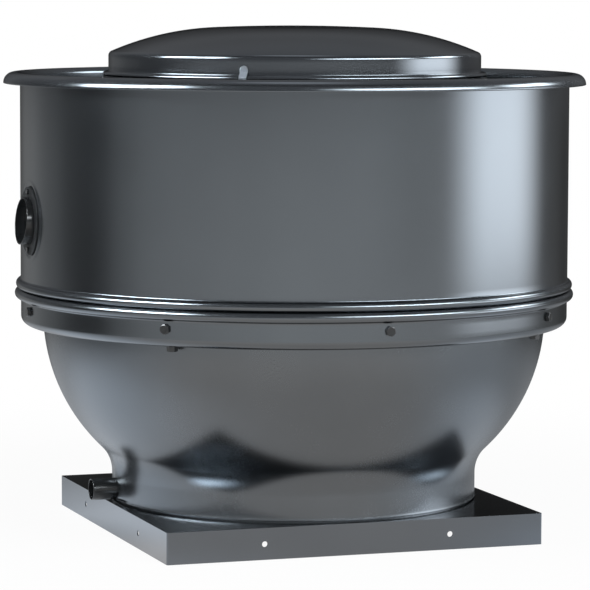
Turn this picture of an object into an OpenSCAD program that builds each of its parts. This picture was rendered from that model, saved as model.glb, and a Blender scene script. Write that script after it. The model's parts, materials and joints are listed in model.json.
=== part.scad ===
// Belt driven centrifugal roof exhaust fan, upward discharge.
// Millimetres, +Z up. The origin is on the fan's axis, level with the lower edge of the curb cap.
// -Y is the side with the front curb face, -X is the side with the drain and the breather tube.

/* [Curb cap] */
// Outside width of the square curb cap
cap_w = 660.4; // [655:0.1:720]
// Height of the curb cap's skirt
cap_h = 52.8; // [48:0.2:60]
// Sheet thickness of the curb cap
cap_t = 2; // [1.5:0.1:3]
// Outside bend radius at the skirt's corners
cap_corner_r = 4; // [3:0.5:8]
// Diameter of the screw holes in the skirt
cap_hole_d = 9.6; // [6:0.1:12]
// Distance between the two screw holes of one skirt face
cap_hole_spacing = 326; // [200:1:420]
// Height of the screw holes above the skirt's lower edge
cap_hole_z = 26; // [18:1:32]

/* [Inlet venturi] */
// Radius of the venturi's throat
throat_r = 166; // [150:1:170]
// Radius of the bell mouth's curve
bell_r = 60; // [45:1:66]
// Straight length of the throat above the bell
throat_l = 26; // [20:1:30]
// Width of the flat flange round the bell
bell_flange_w = 34; // [28:1:38]
// Sheet thickness of the venturi
bell_t = 1.5; // [1:0.1:2.5]
// Number of screws that hold the venturi
bell_screws = 8; // [4:1:12]

/* [Lower windband] */
// Outside radius of the straight neck
neck_r = 316; // [308:1:322]
// Radius of the sweep from the neck into the bowl
sweep_r = 66.4; // [55:0.2:75]
// Radius of the bowl's round side, seen in section
bowl_arc_r = 318.7; // [305:0.1:330]
// Largest outside radius of the bowl
bowl_r = 434.6; // [428:0.1:438]
// Height of the bowl's widest section above the support ring's lower face
bowl_equator = 17.8; // [12:0.2:24]
// Sheet thickness of the bowl
bowl_t = 1.6; // [1:0.1:2.5]
// Half width of the pressed blister that the drain spout leaves
blister_w = 45; // [36:1:52]
// How far the blister stands out of the neck
blister_rise = 9; // [6:0.5:12]

/* [Drain spout] */
// Outside diameter of the drain spout
spout_d = 36.8; // [28:0.1:42]
// Wall of the drain spout
spout_t = 1.8; // [1:0.1:3]
// Distance from the neck to the spout's mouth
spout_reach = 50; // [40:1:80]
// How far the spout's shoulder stands out past its spigot
spout_step = 0.8; // [0.5:0.1:1.2]
// Height of the spout's axis above the curb cap
spout_z = 24.9; // [24:0.1:30]

/* [Support ring] */
// Height of the ring's lower face above the curb cap's lower edge
ring_z = 356; // [350:1:370]
// Width of the flat flange between the bowl and the ring's bend
ring_flange_w = 24; // [20:0.1:28]
// Distance from the bowl out to the ring's own flange
ring_inner_gap = 5.4; // [3:0.1:8]
// Sheet thickness of the ring
ring_t = 1.6; // [1:0.1:2.2]
// Outside bend radius between the ring's flange and its wall
ring_bend_r = 14; // [8:0.5:16]
// Height of the ring's wall up to its bead
ring_h = 52.9; // [48:0.1:58]
// Radius of the ring's bead, seen in section
ring_bead_r = 8.6; // [6:0.1:9]
// Height of the radial screws above the ring's lower face
ring_bolt_z = 29.5; // [26:0.5:34]
// Number of radial screws
ring_bolts_n = 8; // [4:2:16]

/* [Upper windband] */
// How far the windband's wall stands out past the ring's wall
band_step = 0.4; // [0.2:0.1:1]
// Sheet thickness of the upper windband
band_t = 1.6; // [1:0.1:2.2]
// Height of the windband's lip above the support ring's lower face
band_h = 432; // [425:1:470]
// Radius of the bead at the windband's lower hem, seen in section
hem_bead_r = 7.6; // [5:0.1:8]
// Radius of the lip's outer roll
lip_roll_r = 18.3; // [14:0.1:22]
// Radius of the lip's inner bend
lip_bend_r = 11.8; // [8:0.1:14]
// How far the windband's skirt reaches down inside the support ring
skirt_l = 44; // [40:1:48]

/* [Breather tube] */
// Outside diameter of the breather tube
breather_d = 79; // [60:1:90]
// Wall of the breather tube
breather_wall = 1.6; // [1:0.1:3]
// Height of the breather's axis above the support ring's lower face
breather_z = 184; // [150:1:220]
// Distance that the tube stands out of its flange, at its axis
breather_out = 13; // [9:0.5:20]
// How far the top of the slanted mouth overhangs the bottom
breather_slant = 7; // [0:0.5:12]
// Diameter of the breather's flange plate
breather_flange_d = 116; // [110:1:124]
// Thickness of the flange plate
breather_flange_t = 3; // [2:0.1:4]
// Diameter of the flat pad pressed into the windband
pad_d = 132; // [128:1:140]

/* [Struts and isolators] */
// Width of a strut channel
strut_w = 44; // [40:1:56]
// Height of a strut channel
strut_h = 16; // [12:0.5:16]
// Sheet thickness of a strut
strut_t = 3; // [2:0.1:4]
// How far the struts reach in past the isolators
strut_inset = 26; // [20:1:48]
// Distance from a strut bolt out to the ring's bend
strut_bolt_edge = 9.6; // [9:0.1:10.5]
// Width across flats of the strut bolts' heads
strut_bolt_af = 15.8; // [12:0.1:17]
// Head height of the strut bolts
strut_bolt_head = 9; // [6:0.5:10]
// Distance from the compartment's shell in to the isolators
isolator_inset = 30; // [26:1:34]
// Diameter of an isolator
isolator_d = 28; // [22:1:32]
// Free height of an isolator
isolator_h = 18; // [17:0.5:26]

/* [Motor compartment] */
// Thickness of the floor plate
floor_t = 3; // [2:0.1:5]
// Outside radius of the compartment's shell
shell_r = 318; // [314:0.5:319]
// Sheet thickness of the shell
shell_t = 1.5; // [1:0.1:2]
// Height of the shell above the support ring's lower face
shell_top = 423.6; // [418:0.1:430]
// Width of the ring round the shell that the cover rests on
rest_w = 13; // [10:0.5:14]
// Sheet thickness of the rest ring
rest_t = 1.5; // [1:0.1:2]
// Depth of the rest ring's leg
rest_leg = 18; // [12:1:24]

/* [Motor cover] */
// Step from the shell's outside out to the cover's wall
cover_step = 3.3; // [3:0.1:5]
// Sheet thickness of the cover
cover_t = 1.5; // [1:0.1:1.6]
// Height of the cover's wall above its seat, up to the shoulder
cover_wall_h = 36; // [32:0.5:44]
// Bend radius of the shoulder
shoulder_r = 9; // [7:0.5:14]
// Radius of the dome's edge curve, seen in section
dome_edge_r = 498.5; // [420:0.5:600]
// Radius at which the crown ends
crown_end_r = 140; // [120:1:200]
// Radius of the tubular bead at the cover's rim
rim_bead_r = 5; // [4:0.1:5.4]

/* [Latches] */
// Direction of the first latch, in degrees from +X
latch_a = 236.1; // [228:0.1:242]
// Number of latches round the cover
latch_n = 3; // [3:1:3]
// Width of a latch strap
latch_w = 13; // [10:0.5:16]
// Thickness of a latch strap
latch_t = 1.6; // [1.2:0.1:2]
// Distance from the latch's pin up to the centre of the rim bead
latch_arm = 60; // [54:0.5:66]
// Diameter of the latch's pin
latch_pin_d = 5; // [4:0.1:6]
// Length of the upright finger tab
latch_tab = 10; // [8:0.5:16]

/* [Fan wheel] */
// Outside radius of the wheel
wheel_r = 235; // [215:1:240]
// Inside radius of the wheel's inlet ring
eye_r = 170; // [169.5:0.5:174]
// Overlap of the wheel's inlet ring and the venturi's throat
eye_overlap = 8; // [4:1:12]
// Height of the back plate's lower face above the venturi's top edge
wheel_h = 151; // [140:1:156]
// Radius of the shroud's inlet curve
shroud_curve_r = 50; // [40:1:56]
// Slope of the shroud's outer cone, in degrees
shroud_slope = 20; // [12:1:26]
// Sheet thickness of the wheel
wheel_t = 2; // [1.5:0.1:3]
// Number of blades
blade_n = 10; // [7:1:12]
// Thickness of a blade
blade_t = 2.5; // [1.5:0.1:4]
// Radius at which the blades begin
blade_in_r = 163; // [160.5:0.5:168]
// Blade angle at its inner end, measured from the tangent
blade_in_a = 25; // [18:1:32]
// Blade angle at its outer end, measured from the tangent
blade_out_a = 40; // [34:1:50]
// Radius of the hub's barrel
hub_r = 30; // [24:1:34]
// Radius of the hub's flange
hub_flange_r = 55; // [48:1:64]
// Height of the hub
hub_h = 34; // [28:1:44]

/* [Fan shaft and bearings] */
// Diameter of the fan shaft
shaft_d = 25.4; // [19:0.1:28]
// Length of the fan shaft
shaft_l = 540; // [520:1:550]
// Height of the lower bearing above the floor plate
low_bearing_z = 47; // [40:1:70]
// Distance between the two bearings
bearing_pitch = 295; // [260:1:305]
// Distance from the shaft's axis to the bearing's base
bearing_base = 36.5; // [35:0.5:42]
// Radius of the bearing's outer ring
bearing_r = 26; // [24:0.1:27]
// Radius of the running surface between the bearing's rings
race_r = 18; // [16.5:0.1:20]
// Width of the bearing's outer ring
bearing_w = 18; // [14:1:22]
// Length of the bearing housing's foot
bearing_foot_l = 140; // [130:1:150]

/* [Drive frame] */
// Width of the drive frame
frame_w = 206; // [200:1:216]
// Height of the drive frame above the floor plate
frame_h = 376; // [368:1:384]
// Sheet thickness of the drive frame
frame_t = 5; // [3:0.5:6]
// Depth of the drive frame's side flanges
frame_flange = 28; // [20:1:34]
// Depth of the drive frame's foot
frame_foot = 52; // [40:1:54]

/* [Motor] */
// Distance from the fan shaft to the motor shaft
centre_d = 190; // [186:1:196]
// Radius of the motor's body under its fins
motor_r = 76; // [70:1:78]
// Height of the cooling fins
fin_h = 5; // [3:0.5:6]
// Number of cooling fins
fin_n = 28; // [12:4:32]
// Distance from the motor's axis to its feet
motor_foot_h = 88.9; // [86:0.1:92]
// Length of the motor's finned body
motor_l = 190; // [170:1:196]
// Height of the finned body's lower end above the floor plate
motor_z = 117; // [110:1:130]
// Height of each end bell
bell_h = 24; // [18:1:28]
// Length of the cooling fan's cowl
cowl_l = 48; // [42:1:60]
// Diameter of the motor's shaft
motor_shaft_d = 22.2; // [19:0.1:24]
// Thickness of the motor's sliding plate
slide_t = 5; // [4:0.5:6]
// Diameter of the tension studs
stud_d = 12; // [8:0.5:14]

/* [Belt drive] */
// Outside radius of the fan's pulley
fan_pulley_r = 90; // [80:1:100]
// Outside radius of the motor's pulley
motor_pulley_r = 46; // [40:1:56]
// Height of the pulleys' middle above the floor plate
pulley_z = 410; // [406:1:414]
// Width of a pulley's rim
pulley_w = 20; // [19:0.5:24]
// Top width of the belt
belt_w = 13; // [11:0.1:14]
// Height of the belt, seen in section
belt_h = 8; // [6:0.1:9]
// Half of the belt's included angle
belt_a = 18; // [16:0.5:19]

/* [Disconnect switch] */
// Width of the switch box
switch_w = 70; // [64:1:80]
// Depth of the switch box
switch_d = 50; // [44:1:56]
// Height of the switch box
switch_h = 110; // [96:1:120]
// Sheet thickness of the switch box
switch_t = 2; // [1.5:0.1:3]

/* [Hidden] */
$fn = 96;

// Clearance between fitted pieces that do not move, and between running ones
fit = 0.2;
run = 0.06;
// Clearance between pieces of different bodies that only pass each other
air = 0.3;
// Overshoot of a cut past the face that it leaves
eps = 1;
// Overlap of two stretches of one section where they meet
lap = 0.05;

// Radii of the support ring's wall, its flange's flat, the strut bolts and the windband
rim_flange_r = bowl_r + ring_flange_w;
ring_r = rim_flange_r + ring_bend_r;
strut_bolt_r = rim_flange_r - strut_bolt_edge;
band_r = ring_r + band_step;

// Radii tied to the compartment's shell
rest_r = shell_r + rest_w;
cover_r = shell_r + cover_step;
isolator_r = shell_r - isolator_inset;
strut_in_r = isolator_r - strut_inset;

// Heights of the stack from the support ring up to the floor plate
bowl_rim_z = ring_z + ring_t;
strut_z = bowl_rim_z + bowl_t;
isolator_z = strut_z + strut_t;
floor_z = isolator_z + isolator_h;
deck_z = floor_z + floor_t;

// Centres of the two arcs of the bowl's section, radius first and height second
bowl_c = [bowl_r - bowl_arc_r, ring_z + bowl_equator];
sweep_c = [
    neck_r + sweep_r,
    bowl_c[1] - sqrt(pow(sweep_r + bowl_arc_r, 2) - pow(neck_r + sweep_r - bowl_c[0], 2))
];

// Windband: heights of the lip, its bends and the hem bead
lip_z = ring_z + band_h;
ring_bead_z = ring_z + ring_h;
ring_bead_c = ring_r + 2;
hem_bead_c = band_r + 0.5;
hem_bead_z = ring_bead_z + sqrt(pow(ring_bead_r + hem_bead_r + air, 2) - pow(ring_bead_c - hem_bead_c, 2));
skirt_r = ring_r - ring_t - fit;

// Breather, drain and their pads
breather_axis_z = ring_z + breather_z;
pad_x = band_r - band_t;
spout_axis_z = cap_h + spout_z;
blister_d = (pow(blister_w, 2) - pow(blister_rise, 2)) / (2 * blister_rise);
blister_r = blister_d + blister_rise;
spigot_r = spout_d / 2 - spout_step;
spigot_l = 4;
spout_seat_r = neck_r - blister_d + sqrt(pow(blister_r, 2) - pow(spigot_r, 2)) + fit;

// Motor compartment and its cover
shell_top_z = ring_z + shell_top;
seat_z = shell_top_z + air;
rim_bead_c = rest_r - rim_bead_r;
rim_bead_z = seat_z + rim_bead_r;
shoulder_z = seat_z + cover_wall_h;

// Fan wheel, from the venturi's top edge upward
throat_top_z = cap_h + bell_t + bell_r + throat_l;
eye_z = throat_top_z - eye_overlap;
shroud_c = [eye_r + wheel_t + shroud_curve_r, eye_z + 11];
backplate_z = throat_top_z + wheel_h;
hub_z = backplate_z + wheel_t;
shaft_z = backplate_z - 7;
blade_curve_r = (pow(wheel_r, 2) - pow(blade_in_r, 2))
    / (2 * (wheel_r * cos(blade_out_a) - blade_in_r * cos(blade_in_a)));
blade_curve_c = sqrt(pow(blade_curve_r, 2) + pow(blade_in_r, 2)
    - 2 * blade_curve_r * blade_in_r * cos(blade_in_a));

// Shaft, bearings and drive frame
bearings_z = [deck_z + low_bearing_z, deck_z + low_bearing_z + bearing_pitch];
bearing_h = 38;
bearing_bolt_x = bearing_foot_l / 2 - 17;
frame_y = bearing_base;
slide_y = centre_d - motor_foot_h - slide_t;
slide_h = 210;
slide_z = deck_z + motor_z - 12;
stud_x = frame_w / 2 - frame_t - 12;
stud_inset = 26;
studs_z = [slide_z + stud_inset, slide_z + slide_h - stud_inset];
frame_bolt_inset = 22;
frame_bolts_x = [-frame_w / 2 + frame_bolt_inset, frame_w / 2 - frame_bolt_inset];

// Motor
motor_low_z = deck_z + motor_z;
motor_top_z = motor_low_z + motor_l;
stator_r = motor_r - 8;
stator_ring = 20;
rotor_r = stator_r - stator_ring;
foot_x = 61;
feet_z = [motor_low_z + 30, motor_top_z - 30];

// Belt and pulleys
drive_z = deck_z + pulley_z;
groove_h = belt_h + 3;
tangent_a = asin((fan_pulley_r - motor_pulley_r) / centre_d);
belt_run = centre_d * cos(tangent_a);

// Switch box on the floor plate
switch_at = [-150, -170];

// An arc of sheet metal in section, between two radii and two directions
module band(r_out, r_in, a0, a1) {
    reach = 2 * r_out;
    mid = (a0 + a1) / 2;
    intersection() {
        difference() {
            circle(r_out);
            circle(r_in);
        }
        polygon([
            [0, 0],
            reach * [cos(a0), sin(a0)],
            reach * [cos(mid), sin(mid)],
            reach * [cos(a1), sin(a1)]
        ]);
    }
}

// A flat ring standing on z
module hoop(r_out, r_in, z, h) {
    translate([0, 0, z]) difference() {
        cylinder(r = r_out, h = h);
        translate([0, 0, -eps]) cylinder(r = r_in, h = h + 2 * eps);
    }
}

// Copies of a piece at equal steps round the axis
module around(n, first = 0) {
    for (i = [0 : n - 1]) rotate(first + i * 360 / n) children();
}

// A cylinder that lies along +Y from the origin
module rod_y(r, l) {
    rotate([-90, 0, 0]) cylinder(r = r, h = l);
}

// A cylinder that lies along +X from the origin
module rod_x(r, l) {
    rotate([0, 90, 0]) cylinder(r = r, h = l);
}

// A hexagon prism that is af wide across its flats
module hex(af, h) {
    cylinder(r = af / sqrt(3), h = h, $fn = 6);
}

// A bolt with its head above z = 0 and its shank below
module bolt(d, l, af, head) {
    hex(af, head);
    translate([0, 0, -l]) cylinder(r = d / 2, h = l);
}

// A nut on z = 0 that fits a shank of diameter d
module nut(d, af, h) {
    difference() {
        hex(af, h);
        translate([0, 0, -eps]) cylinder(r = d / 2 + run, h = h + 2 * eps);
    }
}

// Curb cap: a square pan, open below, with a round inlet in its top
module cap_square(w, r) {
    for (x = [r - w / 2, w / 2 - r], y = [r - w / 2, w / 2 - r]) translate([x, y]) circle(r);
    square([w, w - 2 * r], center = true);
    square([w - 2 * r, w], center = true);
}

module curb_cap() {
    color("dimgray") difference() {
        linear_extrude(cap_h) cap_square(cap_w, cap_corner_r);
        translate([0, 0, -eps]) linear_extrude(cap_h - cap_t + eps)
            cap_square(cap_w - 2 * cap_t, cap_corner_r - cap_t);
        cylinder(r = throat_r + bell_r + fit, h = cap_h + eps);
        for (a = [0, 90, 180, 270], s = [-1, 1]) rotate(a)
            translate([s * cap_hole_spacing / 2, -cap_w / 2 - eps, cap_hole_z])
                rod_y(cap_hole_d / 2, cap_t + 2 * eps);
        around(bell_screws, venturi_screw_a) translate([venturi_screw_r, 0, 0])
            cylinder(r = venturi_screw_d / 2 + fit, h = cap_h + eps);
    }
}

// Inlet venturi: flat flange, quarter round bell and straight throat
venturi_screw_d = 6;
venturi_screw_end = 4;
venturi_screw_r = throat_r + bell_r + bell_flange_w / 2;
venturi_screw_a = 22.5;

module inlet_venturi() {
    c = [throat_r + bell_r, cap_h + bell_t + bell_r];
    color("silver") difference() {
        rotate_extrude() {
            translate(c) band(bell_r + bell_t, bell_r, 180, 270);
            translate([c[0], cap_h]) square([bell_flange_w, bell_t]);
            translate([throat_r - bell_t, c[1]]) square([bell_t, throat_l]);
        }
        around(bell_screws, venturi_screw_a) translate([venturi_screw_r, 0, cap_h - eps])
            cylinder(r = venturi_screw_d / 2 + fit, h = bell_t + 2 * eps);
    }
}

module venturi_screws() {
    color("gray") around(bell_screws, venturi_screw_a)
        translate([venturi_screw_r, 0, cap_h + bell_t])
            bolt(venturi_screw_d, bell_t + cap_t + venturi_screw_end, 10, 4);
}

// Lower windband: the neck, the sweep and the bowl as one filled turned body
module bowl_section(inset) {
    join = (sweep_r + inset) / (sweep_r + bowl_arc_r);
    join_z = sweep_c[1] + join * (bowl_c[1] - sweep_c[1]);
    translate([0, cap_h]) square([neck_r - inset, sweep_c[1] - cap_h]);
    difference() {
        translate([0, sweep_c[1]]) square([sweep_c[0], join_z + lap - sweep_c[1]]);
        translate(sweep_c) circle(sweep_r + inset);
    }
    intersection() {
        translate([0, join_z]) square([bowl_r, bowl_rim_z + bowl_t - join_z]);
        union() {
            translate(bowl_c) circle(bowl_arc_r - inset);
            translate([0, join_z]) square([bowl_c[0], bowl_rim_z + bowl_t - join_z]);
        }
    }
}

module bowl_body(inset) {
    rotate_extrude($fn = 192) bowl_section(inset);
    intersection() {
        translate([blister_d - neck_r, 0, spout_axis_z]) sphere(r = blister_r - inset);
        translate([-neck_r - blister_rise, -neck_r, cap_h])
            cube([neck_r, 2 * neck_r, bowl_rim_z - cap_h]);
    }
}

module lower_windband() {
    color("dimgray") difference() {
        union() {
            difference() {
                bowl_body(0);
                bowl_body(bowl_t);
            }
            hoop(neck_r, neck_r - 22, cap_h, bowl_t);
            hoop(rim_flange_r, bowl_r - bowl_t - 1, bowl_rim_z, bowl_t);
        }
        translate([-spout_seat_r - 2 * eps, 0, spout_axis_z])
            rod_x(spigot_r + fit, spout_seat_r - neck_r + spigot_l + 2 * eps);
        around(4, 45) translate([strut_bolt_r, 0, bowl_rim_z - eps])
            cylinder(r = strut_bolt_d / 2 + fit, h = bowl_t + 2 * eps);
    }
}

// Drain spout: its shoulder seats on the blister and its spigot passes through the wall
module drain_spout() {
    mouth = neck_r + spout_reach;
    color("#26282b") translate([-mouth, 0, spout_axis_z]) difference() {
        union() {
            rod_x(spout_d / 2, mouth - spout_seat_r);
            rod_x(spigot_r, spout_reach + spigot_l);
        }
        translate([-eps, 0, 0]) rod_x(spout_d / 2 - spout_t, spout_reach + spigot_l + 2 * eps);
    }
}

// Support ring: turned in flange, wall and bead
strut_bolt_d = 9.5;
ring_bolt_d = 8;
ring_flange_in_r = bowl_r + ring_inner_gap;
ring_bolt_af = 14.6;
ring_bolt_end = 12;
strut_bolt_end = 12;
hole_reach = 12;

module radial_holes(z, r, d) {
    around(ring_bolts_n, 0) translate([r - hole_reach, 0, z]) rod_x(d / 2 + fit, 2 * hole_reach);
}

module support_ring() {
    bend = [ring_r - ring_bend_r, ring_z + ring_bend_r];
    color("dimgray") difference() {
        rotate_extrude($fn = 192) {
            translate([ring_flange_in_r, ring_z]) square([bend[0] - ring_flange_in_r, ring_t]);
            translate(bend) band(ring_bend_r, ring_bend_r - ring_t, 270, 360);
            translate([ring_r - ring_t, bend[1]])
                square([ring_t, ring_bead_z - ring_bead_r + ring_t - bend[1]]);
            translate([ring_bead_c, ring_bead_z]) intersection() {
                band(ring_bead_r, ring_bead_r - ring_t, -115, 65);
                translate([-3.6, -ring_bead_r]) square([20, 2 * ring_bead_r]);
            }
            translate([ring_bead_c, ring_bead_z]) band(ring_bead_r, ring_bead_r - ring_t, 60, 110);
        }
        radial_holes(ring_z + ring_bolt_z, ring_r, ring_bolt_d);
        around(4, 45) translate([strut_bolt_r, 0, ring_z - eps])
            cylinder(r = strut_bolt_d / 2 + fit, h = ring_t + 2 * eps);
    }
}

module ring_bolts() {
    color("#26282b") around(ring_bolts_n) translate([ring_r, 0, ring_z + ring_bolt_z])
        rotate([0, 90, 0]) bolt(ring_bolt_d, ring_t + band_t + ring_bolt_end, ring_bolt_af, 5.5);
}

module ring_nuts() {
    color("#26282b") around(ring_bolts_n)
        translate([skirt_r - band_t - fit, 0, ring_z + ring_bolt_z])
            rotate([0, -90, 0]) nut(ring_bolt_d, ring_bolt_af, 6.5);
}

module strut_bolts() {
    color("#26282b") around(4, 45) translate([strut_bolt_r, 0, ring_z])
        rotate([180, 0, 0]) bolt(strut_bolt_d, ring_t + bowl_t + strut_t + strut_bolt_end,
            strut_bolt_af, strut_bolt_head);
}

module strut_nuts() {
    color("#26282b") around(4, 45) translate([strut_bolt_r, 0, isolator_z])
        nut(strut_bolt_d, strut_bolt_af, 8);
}

// Struts: open channels from the support ring in to the isolators
strut_end_r = rim_flange_r - 1;
isolator_bolt_d = 8;
isolator_bolt_end = 14;

module support_struts() {
    l = strut_end_r - strut_in_r;
    color("gray") around(4, 45) translate([strut_in_r, 0, strut_z]) difference() {
        translate([0, -strut_w / 2, 0]) cube([l, strut_w, strut_h]);
        translate([-eps, strut_t - strut_w / 2, strut_t])
            cube([l + 2 * eps, strut_w - 2 * strut_t, strut_h]);
        translate([strut_bolt_r - strut_in_r, 0, -eps])
            cylinder(r = strut_bolt_d / 2 + fit, h = strut_t + 2 * eps);
        translate([isolator_r - strut_in_r, 0, -eps])
            cylinder(r = isolator_bolt_d / 2 + fit, h = strut_t + 2 * eps);
    }
}

// Isolators: rubber buffers with a waist
module isolators() {
    color("#1b1b1b") around(4, 45) translate([isolator_r, 0, isolator_z]) rotate_extrude()
        difference() {
            translate([isolator_bolt_d / 2 + fit, 0])
                square([(isolator_d - isolator_bolt_d) / 2 - fit, isolator_h]);
            translate([isolator_d / 2 + 6, isolator_h / 2]) circle(9);
        }
}

module isolator_bolts() {
    color("#8a8d90") around(4, 45) translate([isolator_r, 0, strut_z]) {
        rotate([180, 0, 0]) bolt(isolator_bolt_d, deck_z - strut_z + isolator_bolt_end, 13, 5);
    }
}

// Floor plate of the motor compartment
shaft_hole_r = 34;

module floor_plate() {
    color("silver") difference() {
        translate([0, 0, floor_z]) cylinder(r = shell_r - shell_t - fit, h = floor_t);
        translate([0, 0, floor_z - eps]) cylinder(r = shaft_hole_r, h = floor_t + 2 * eps);
        around(4, 45) translate([isolator_r, 0, floor_z - eps])
            cylinder(r = isolator_bolt_d / 2 + fit, h = floor_t + 2 * eps);
        for (x = frame_bolts_x) translate([x, frame_bolt_y, floor_z - eps])
            cylinder(r = frame_bolt_d / 2 + fit, h = floor_t + 2 * eps);
    }
}

shell_lap = 18;

module compartment_shell() {
    color("silver") difference() {
        hoop(shell_r, shell_r - shell_t, floor_z, shell_top_z - floor_z + shell_lap);
        translate([-shell_r - 10, 0, breather_axis_z]) rod_x(breather_d / 2 + fit, 30);
    }
}

// Ring round the shell's top that carries the cover's rim bead
module cover_rest_ring() {
    color("silver") union() {
        hoop(rest_r, shell_r + fit, shell_top_z - rest_t, rest_t);
        hoop(shell_r + fit + rest_t, shell_r + fit, shell_top_z - rest_leg, rest_leg);
    }
}

// Latch brackets: two ears on a foot, with the pin through them
latch_r = rest_r + 3;
latch_pin_z = rim_bead_z - latch_arm;
ear_t = 2;
ear_gap = latch_w + 2 * air;
eye_wall = 2.2;

module latch_brackets() {
    foot_r = shell_r + fit;
    h = 24;
    color("#a4abb2") around(latch_n, latch_a) translate([0, 0, latch_pin_z]) {
        intersection() {
            translate([shell_r - 10, -ear_gap / 2 - ear_t, -h / 2])
                cube([12.5, ear_gap + 2 * ear_t, h]);
            hoop(foot_r + 2.2, foot_r, -h / 2, h);
        }
        for (s = [-1, 1]) difference() {
            translate([0, s * (ear_gap + ear_t) / 2, 0]) translate([0, ear_t / 2, 0])
                rotate([90, 0, 0]) linear_extrude(ear_t) {
                    translate([latch_r, 0]) circle(6);
                    translate([foot_r + 0.8, -6]) square([latch_r - foot_r - 0.8, 12]);
                }
            translate([latch_r, s * (ear_gap + ear_t) / 2 - ear_t, 0])
                rod_y(latch_pin_d / 2 + run, 2 * ear_t);
        }
    }
}

module latch_pins() {
    l = ear_gap + 2 * ear_t + 1;
    color("#a4abb2") around(latch_n, latch_a) translate([latch_r, -l / 2, latch_pin_z])
        union() {
            rod_y(latch_pin_d / 2, l);
            translate([0, -1.6, 0]) rod_y(latch_pin_d / 2 + 1.4, 1.6);
            translate([0, l, 0]) rod_y(latch_pin_d / 2 + 1.4, 1.6);
        }
}

// Upper windband: skirt, hem bead, wall and rolled lip
module upper_windband() {
    roll_c = band_r - band_t + lip_bend_r;
    band_in = band_r - band_t;
    skirt_z = hem_bead_z - skirt_l;
    color("dimgray") difference() {
        union() {
            difference() {
                rotate_extrude($fn = 192) {
                    translate([skirt_r - band_t, skirt_z])
                        square([band_t, hem_bead_z - hem_bead_r + 2 - skirt_z]);
                    translate([hem_bead_c, hem_bead_z]) intersection() {
                        difference() {
                            circle(hem_bead_r);
                            circle(hem_bead_r - band_t);
                        }
                        translate([skirt_r - band_t - hem_bead_c, -hem_bead_r])
                            square([2 * hem_bead_r, 2 * hem_bead_r]);
                    }
                    translate([band_in, hem_bead_z + hem_bead_r - band_t])
                        square([band_t, lip_z - lip_bend_r - hem_bead_z - hem_bead_r + band_t]);
                    translate([roll_c, lip_z - lip_bend_r])
                        band(lip_bend_r, lip_bend_r - band_t, 90, 180);
                    translate([roll_c, lip_z - lip_roll_r])
                        band(lip_roll_r, lip_roll_r - band_t, 0, 90);
                }
                translate([-band_r - 10, 0, breather_axis_z]) rod_x(pad_d / 2 - 0.1, 40);
            }
            translate([-pad_x, 0, breather_axis_z]) difference() {
                rod_x(pad_d / 2, 5);
                translate([band_t, 0, 0]) rod_x(pad_d / 2 - band_t, 5);
            }
        }
        translate([-band_r - 10, 0, breather_axis_z]) rod_x(breather_d / 2 + fit, 40);
        radial_holes(ring_z + ring_bolt_z, skirt_r, ring_bolt_d);
        for (s = [-1, 1]) translate([-pad_x - eps, 0, breather_axis_z + s * breather_screw_r])
            rod_x(breather_screw_d / 2 + fit, 8);
    }
}

// Breather: flange plate, tube with a slanted mouth, and two screws
breather_screw_d = 5;
breather_screw_r = (breather_flange_d + breather_d) / 4 + 0.5;

module breather_flange() {
    color("#26282b") translate([-pad_x - breather_flange_t, 0, breather_axis_z]) difference() {
        rod_x(breather_flange_d / 2, breather_flange_t);
        translate([-eps, 0, 0]) rod_x(breather_d / 2 + fit, breather_flange_t + 2 * eps);
        for (s = [-1, 1]) translate([-eps, 0, s * breather_screw_r])
            rod_x(breather_screw_d / 2 + fit, breather_flange_t + 2 * eps);
    }
}

module breather_tube() {
    mouth = pad_x + breather_flange_t + breather_out;
    over = breather_slant / 2 + 1;
    slant = atan(breather_slant / breather_d);
    color("#26282b") translate([0, 0, breather_axis_z]) difference() {
        translate([-mouth - over, 0, 0]) rod_x(breather_d / 2, mouth + over - shell_r + 8);
        translate([-mouth - over - eps, 0, 0])
            rod_x(breather_d / 2 - breather_wall, mouth + over - shell_r + 8 + 2 * eps);
        translate([-mouth, 0, 0]) rotate([0, slant, 0]) translate([-30, -breather_d, -breather_d])
            cube([30, 2 * breather_d, 2 * breather_d]);
    }
}

module breather_screws() {
    color("#26282b") for (s = [-1, 1])
        translate([-pad_x - breather_flange_t, 0, breather_axis_z + s * breather_screw_r])
            rotate([0, -90, 0]) union() {
                cylinder(r = 4.6, h = 3.2);
                translate([0, 0, -breather_flange_t - 8]) cylinder(r = breather_screw_d / 2, h = 11);
            }
}

// Drive frame: a bent channel that holds the bearings, with a foot on the floor plate
frame_bolt_d = 10;
frame_bolt_end = 9;
frame_bolt_y = frame_y + frame_t + 30;
frame_window_w = 70;
frame_window_inset = 50;

module drive_frame() {
    color("#9aa0a6") difference() {
        union() {
            translate([-frame_w / 2, frame_y, deck_z]) cube([frame_w, frame_t, frame_h]);
            for (x = [-frame_w / 2, frame_w / 2 - frame_t]) translate([x, frame_y, deck_z])
                cube([frame_t, frame_flange, frame_h]);
            translate([-frame_w / 2, frame_y, deck_z]) cube([frame_w, frame_foot, frame_t]);
        }
        for (x = frame_bolts_x) translate([x, frame_bolt_y, deck_z - eps])
            cylinder(r = frame_bolt_d / 2 + fit, h = frame_t + 2 * eps);
        for (z = bearings_z, s = [-1, 1]) translate([s * bearing_bolt_x, frame_y - eps, z])
            rod_y(bearing_bolt_d / 2 + fit, frame_t + 2 * eps);
        for (z = studs_z, s = [-1, 1]) translate([s * stud_x, frame_y - eps, z])
            rod_y(stud_d / 2 + fit, frame_t + 2 * eps);
        translate([-frame_window_w / 2, frame_y - eps, bearings_z[0] + frame_window_inset])
            cube([frame_window_w, frame_t + 2 * eps, bearing_pitch - 2 * frame_window_inset]);
    }
}

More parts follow.
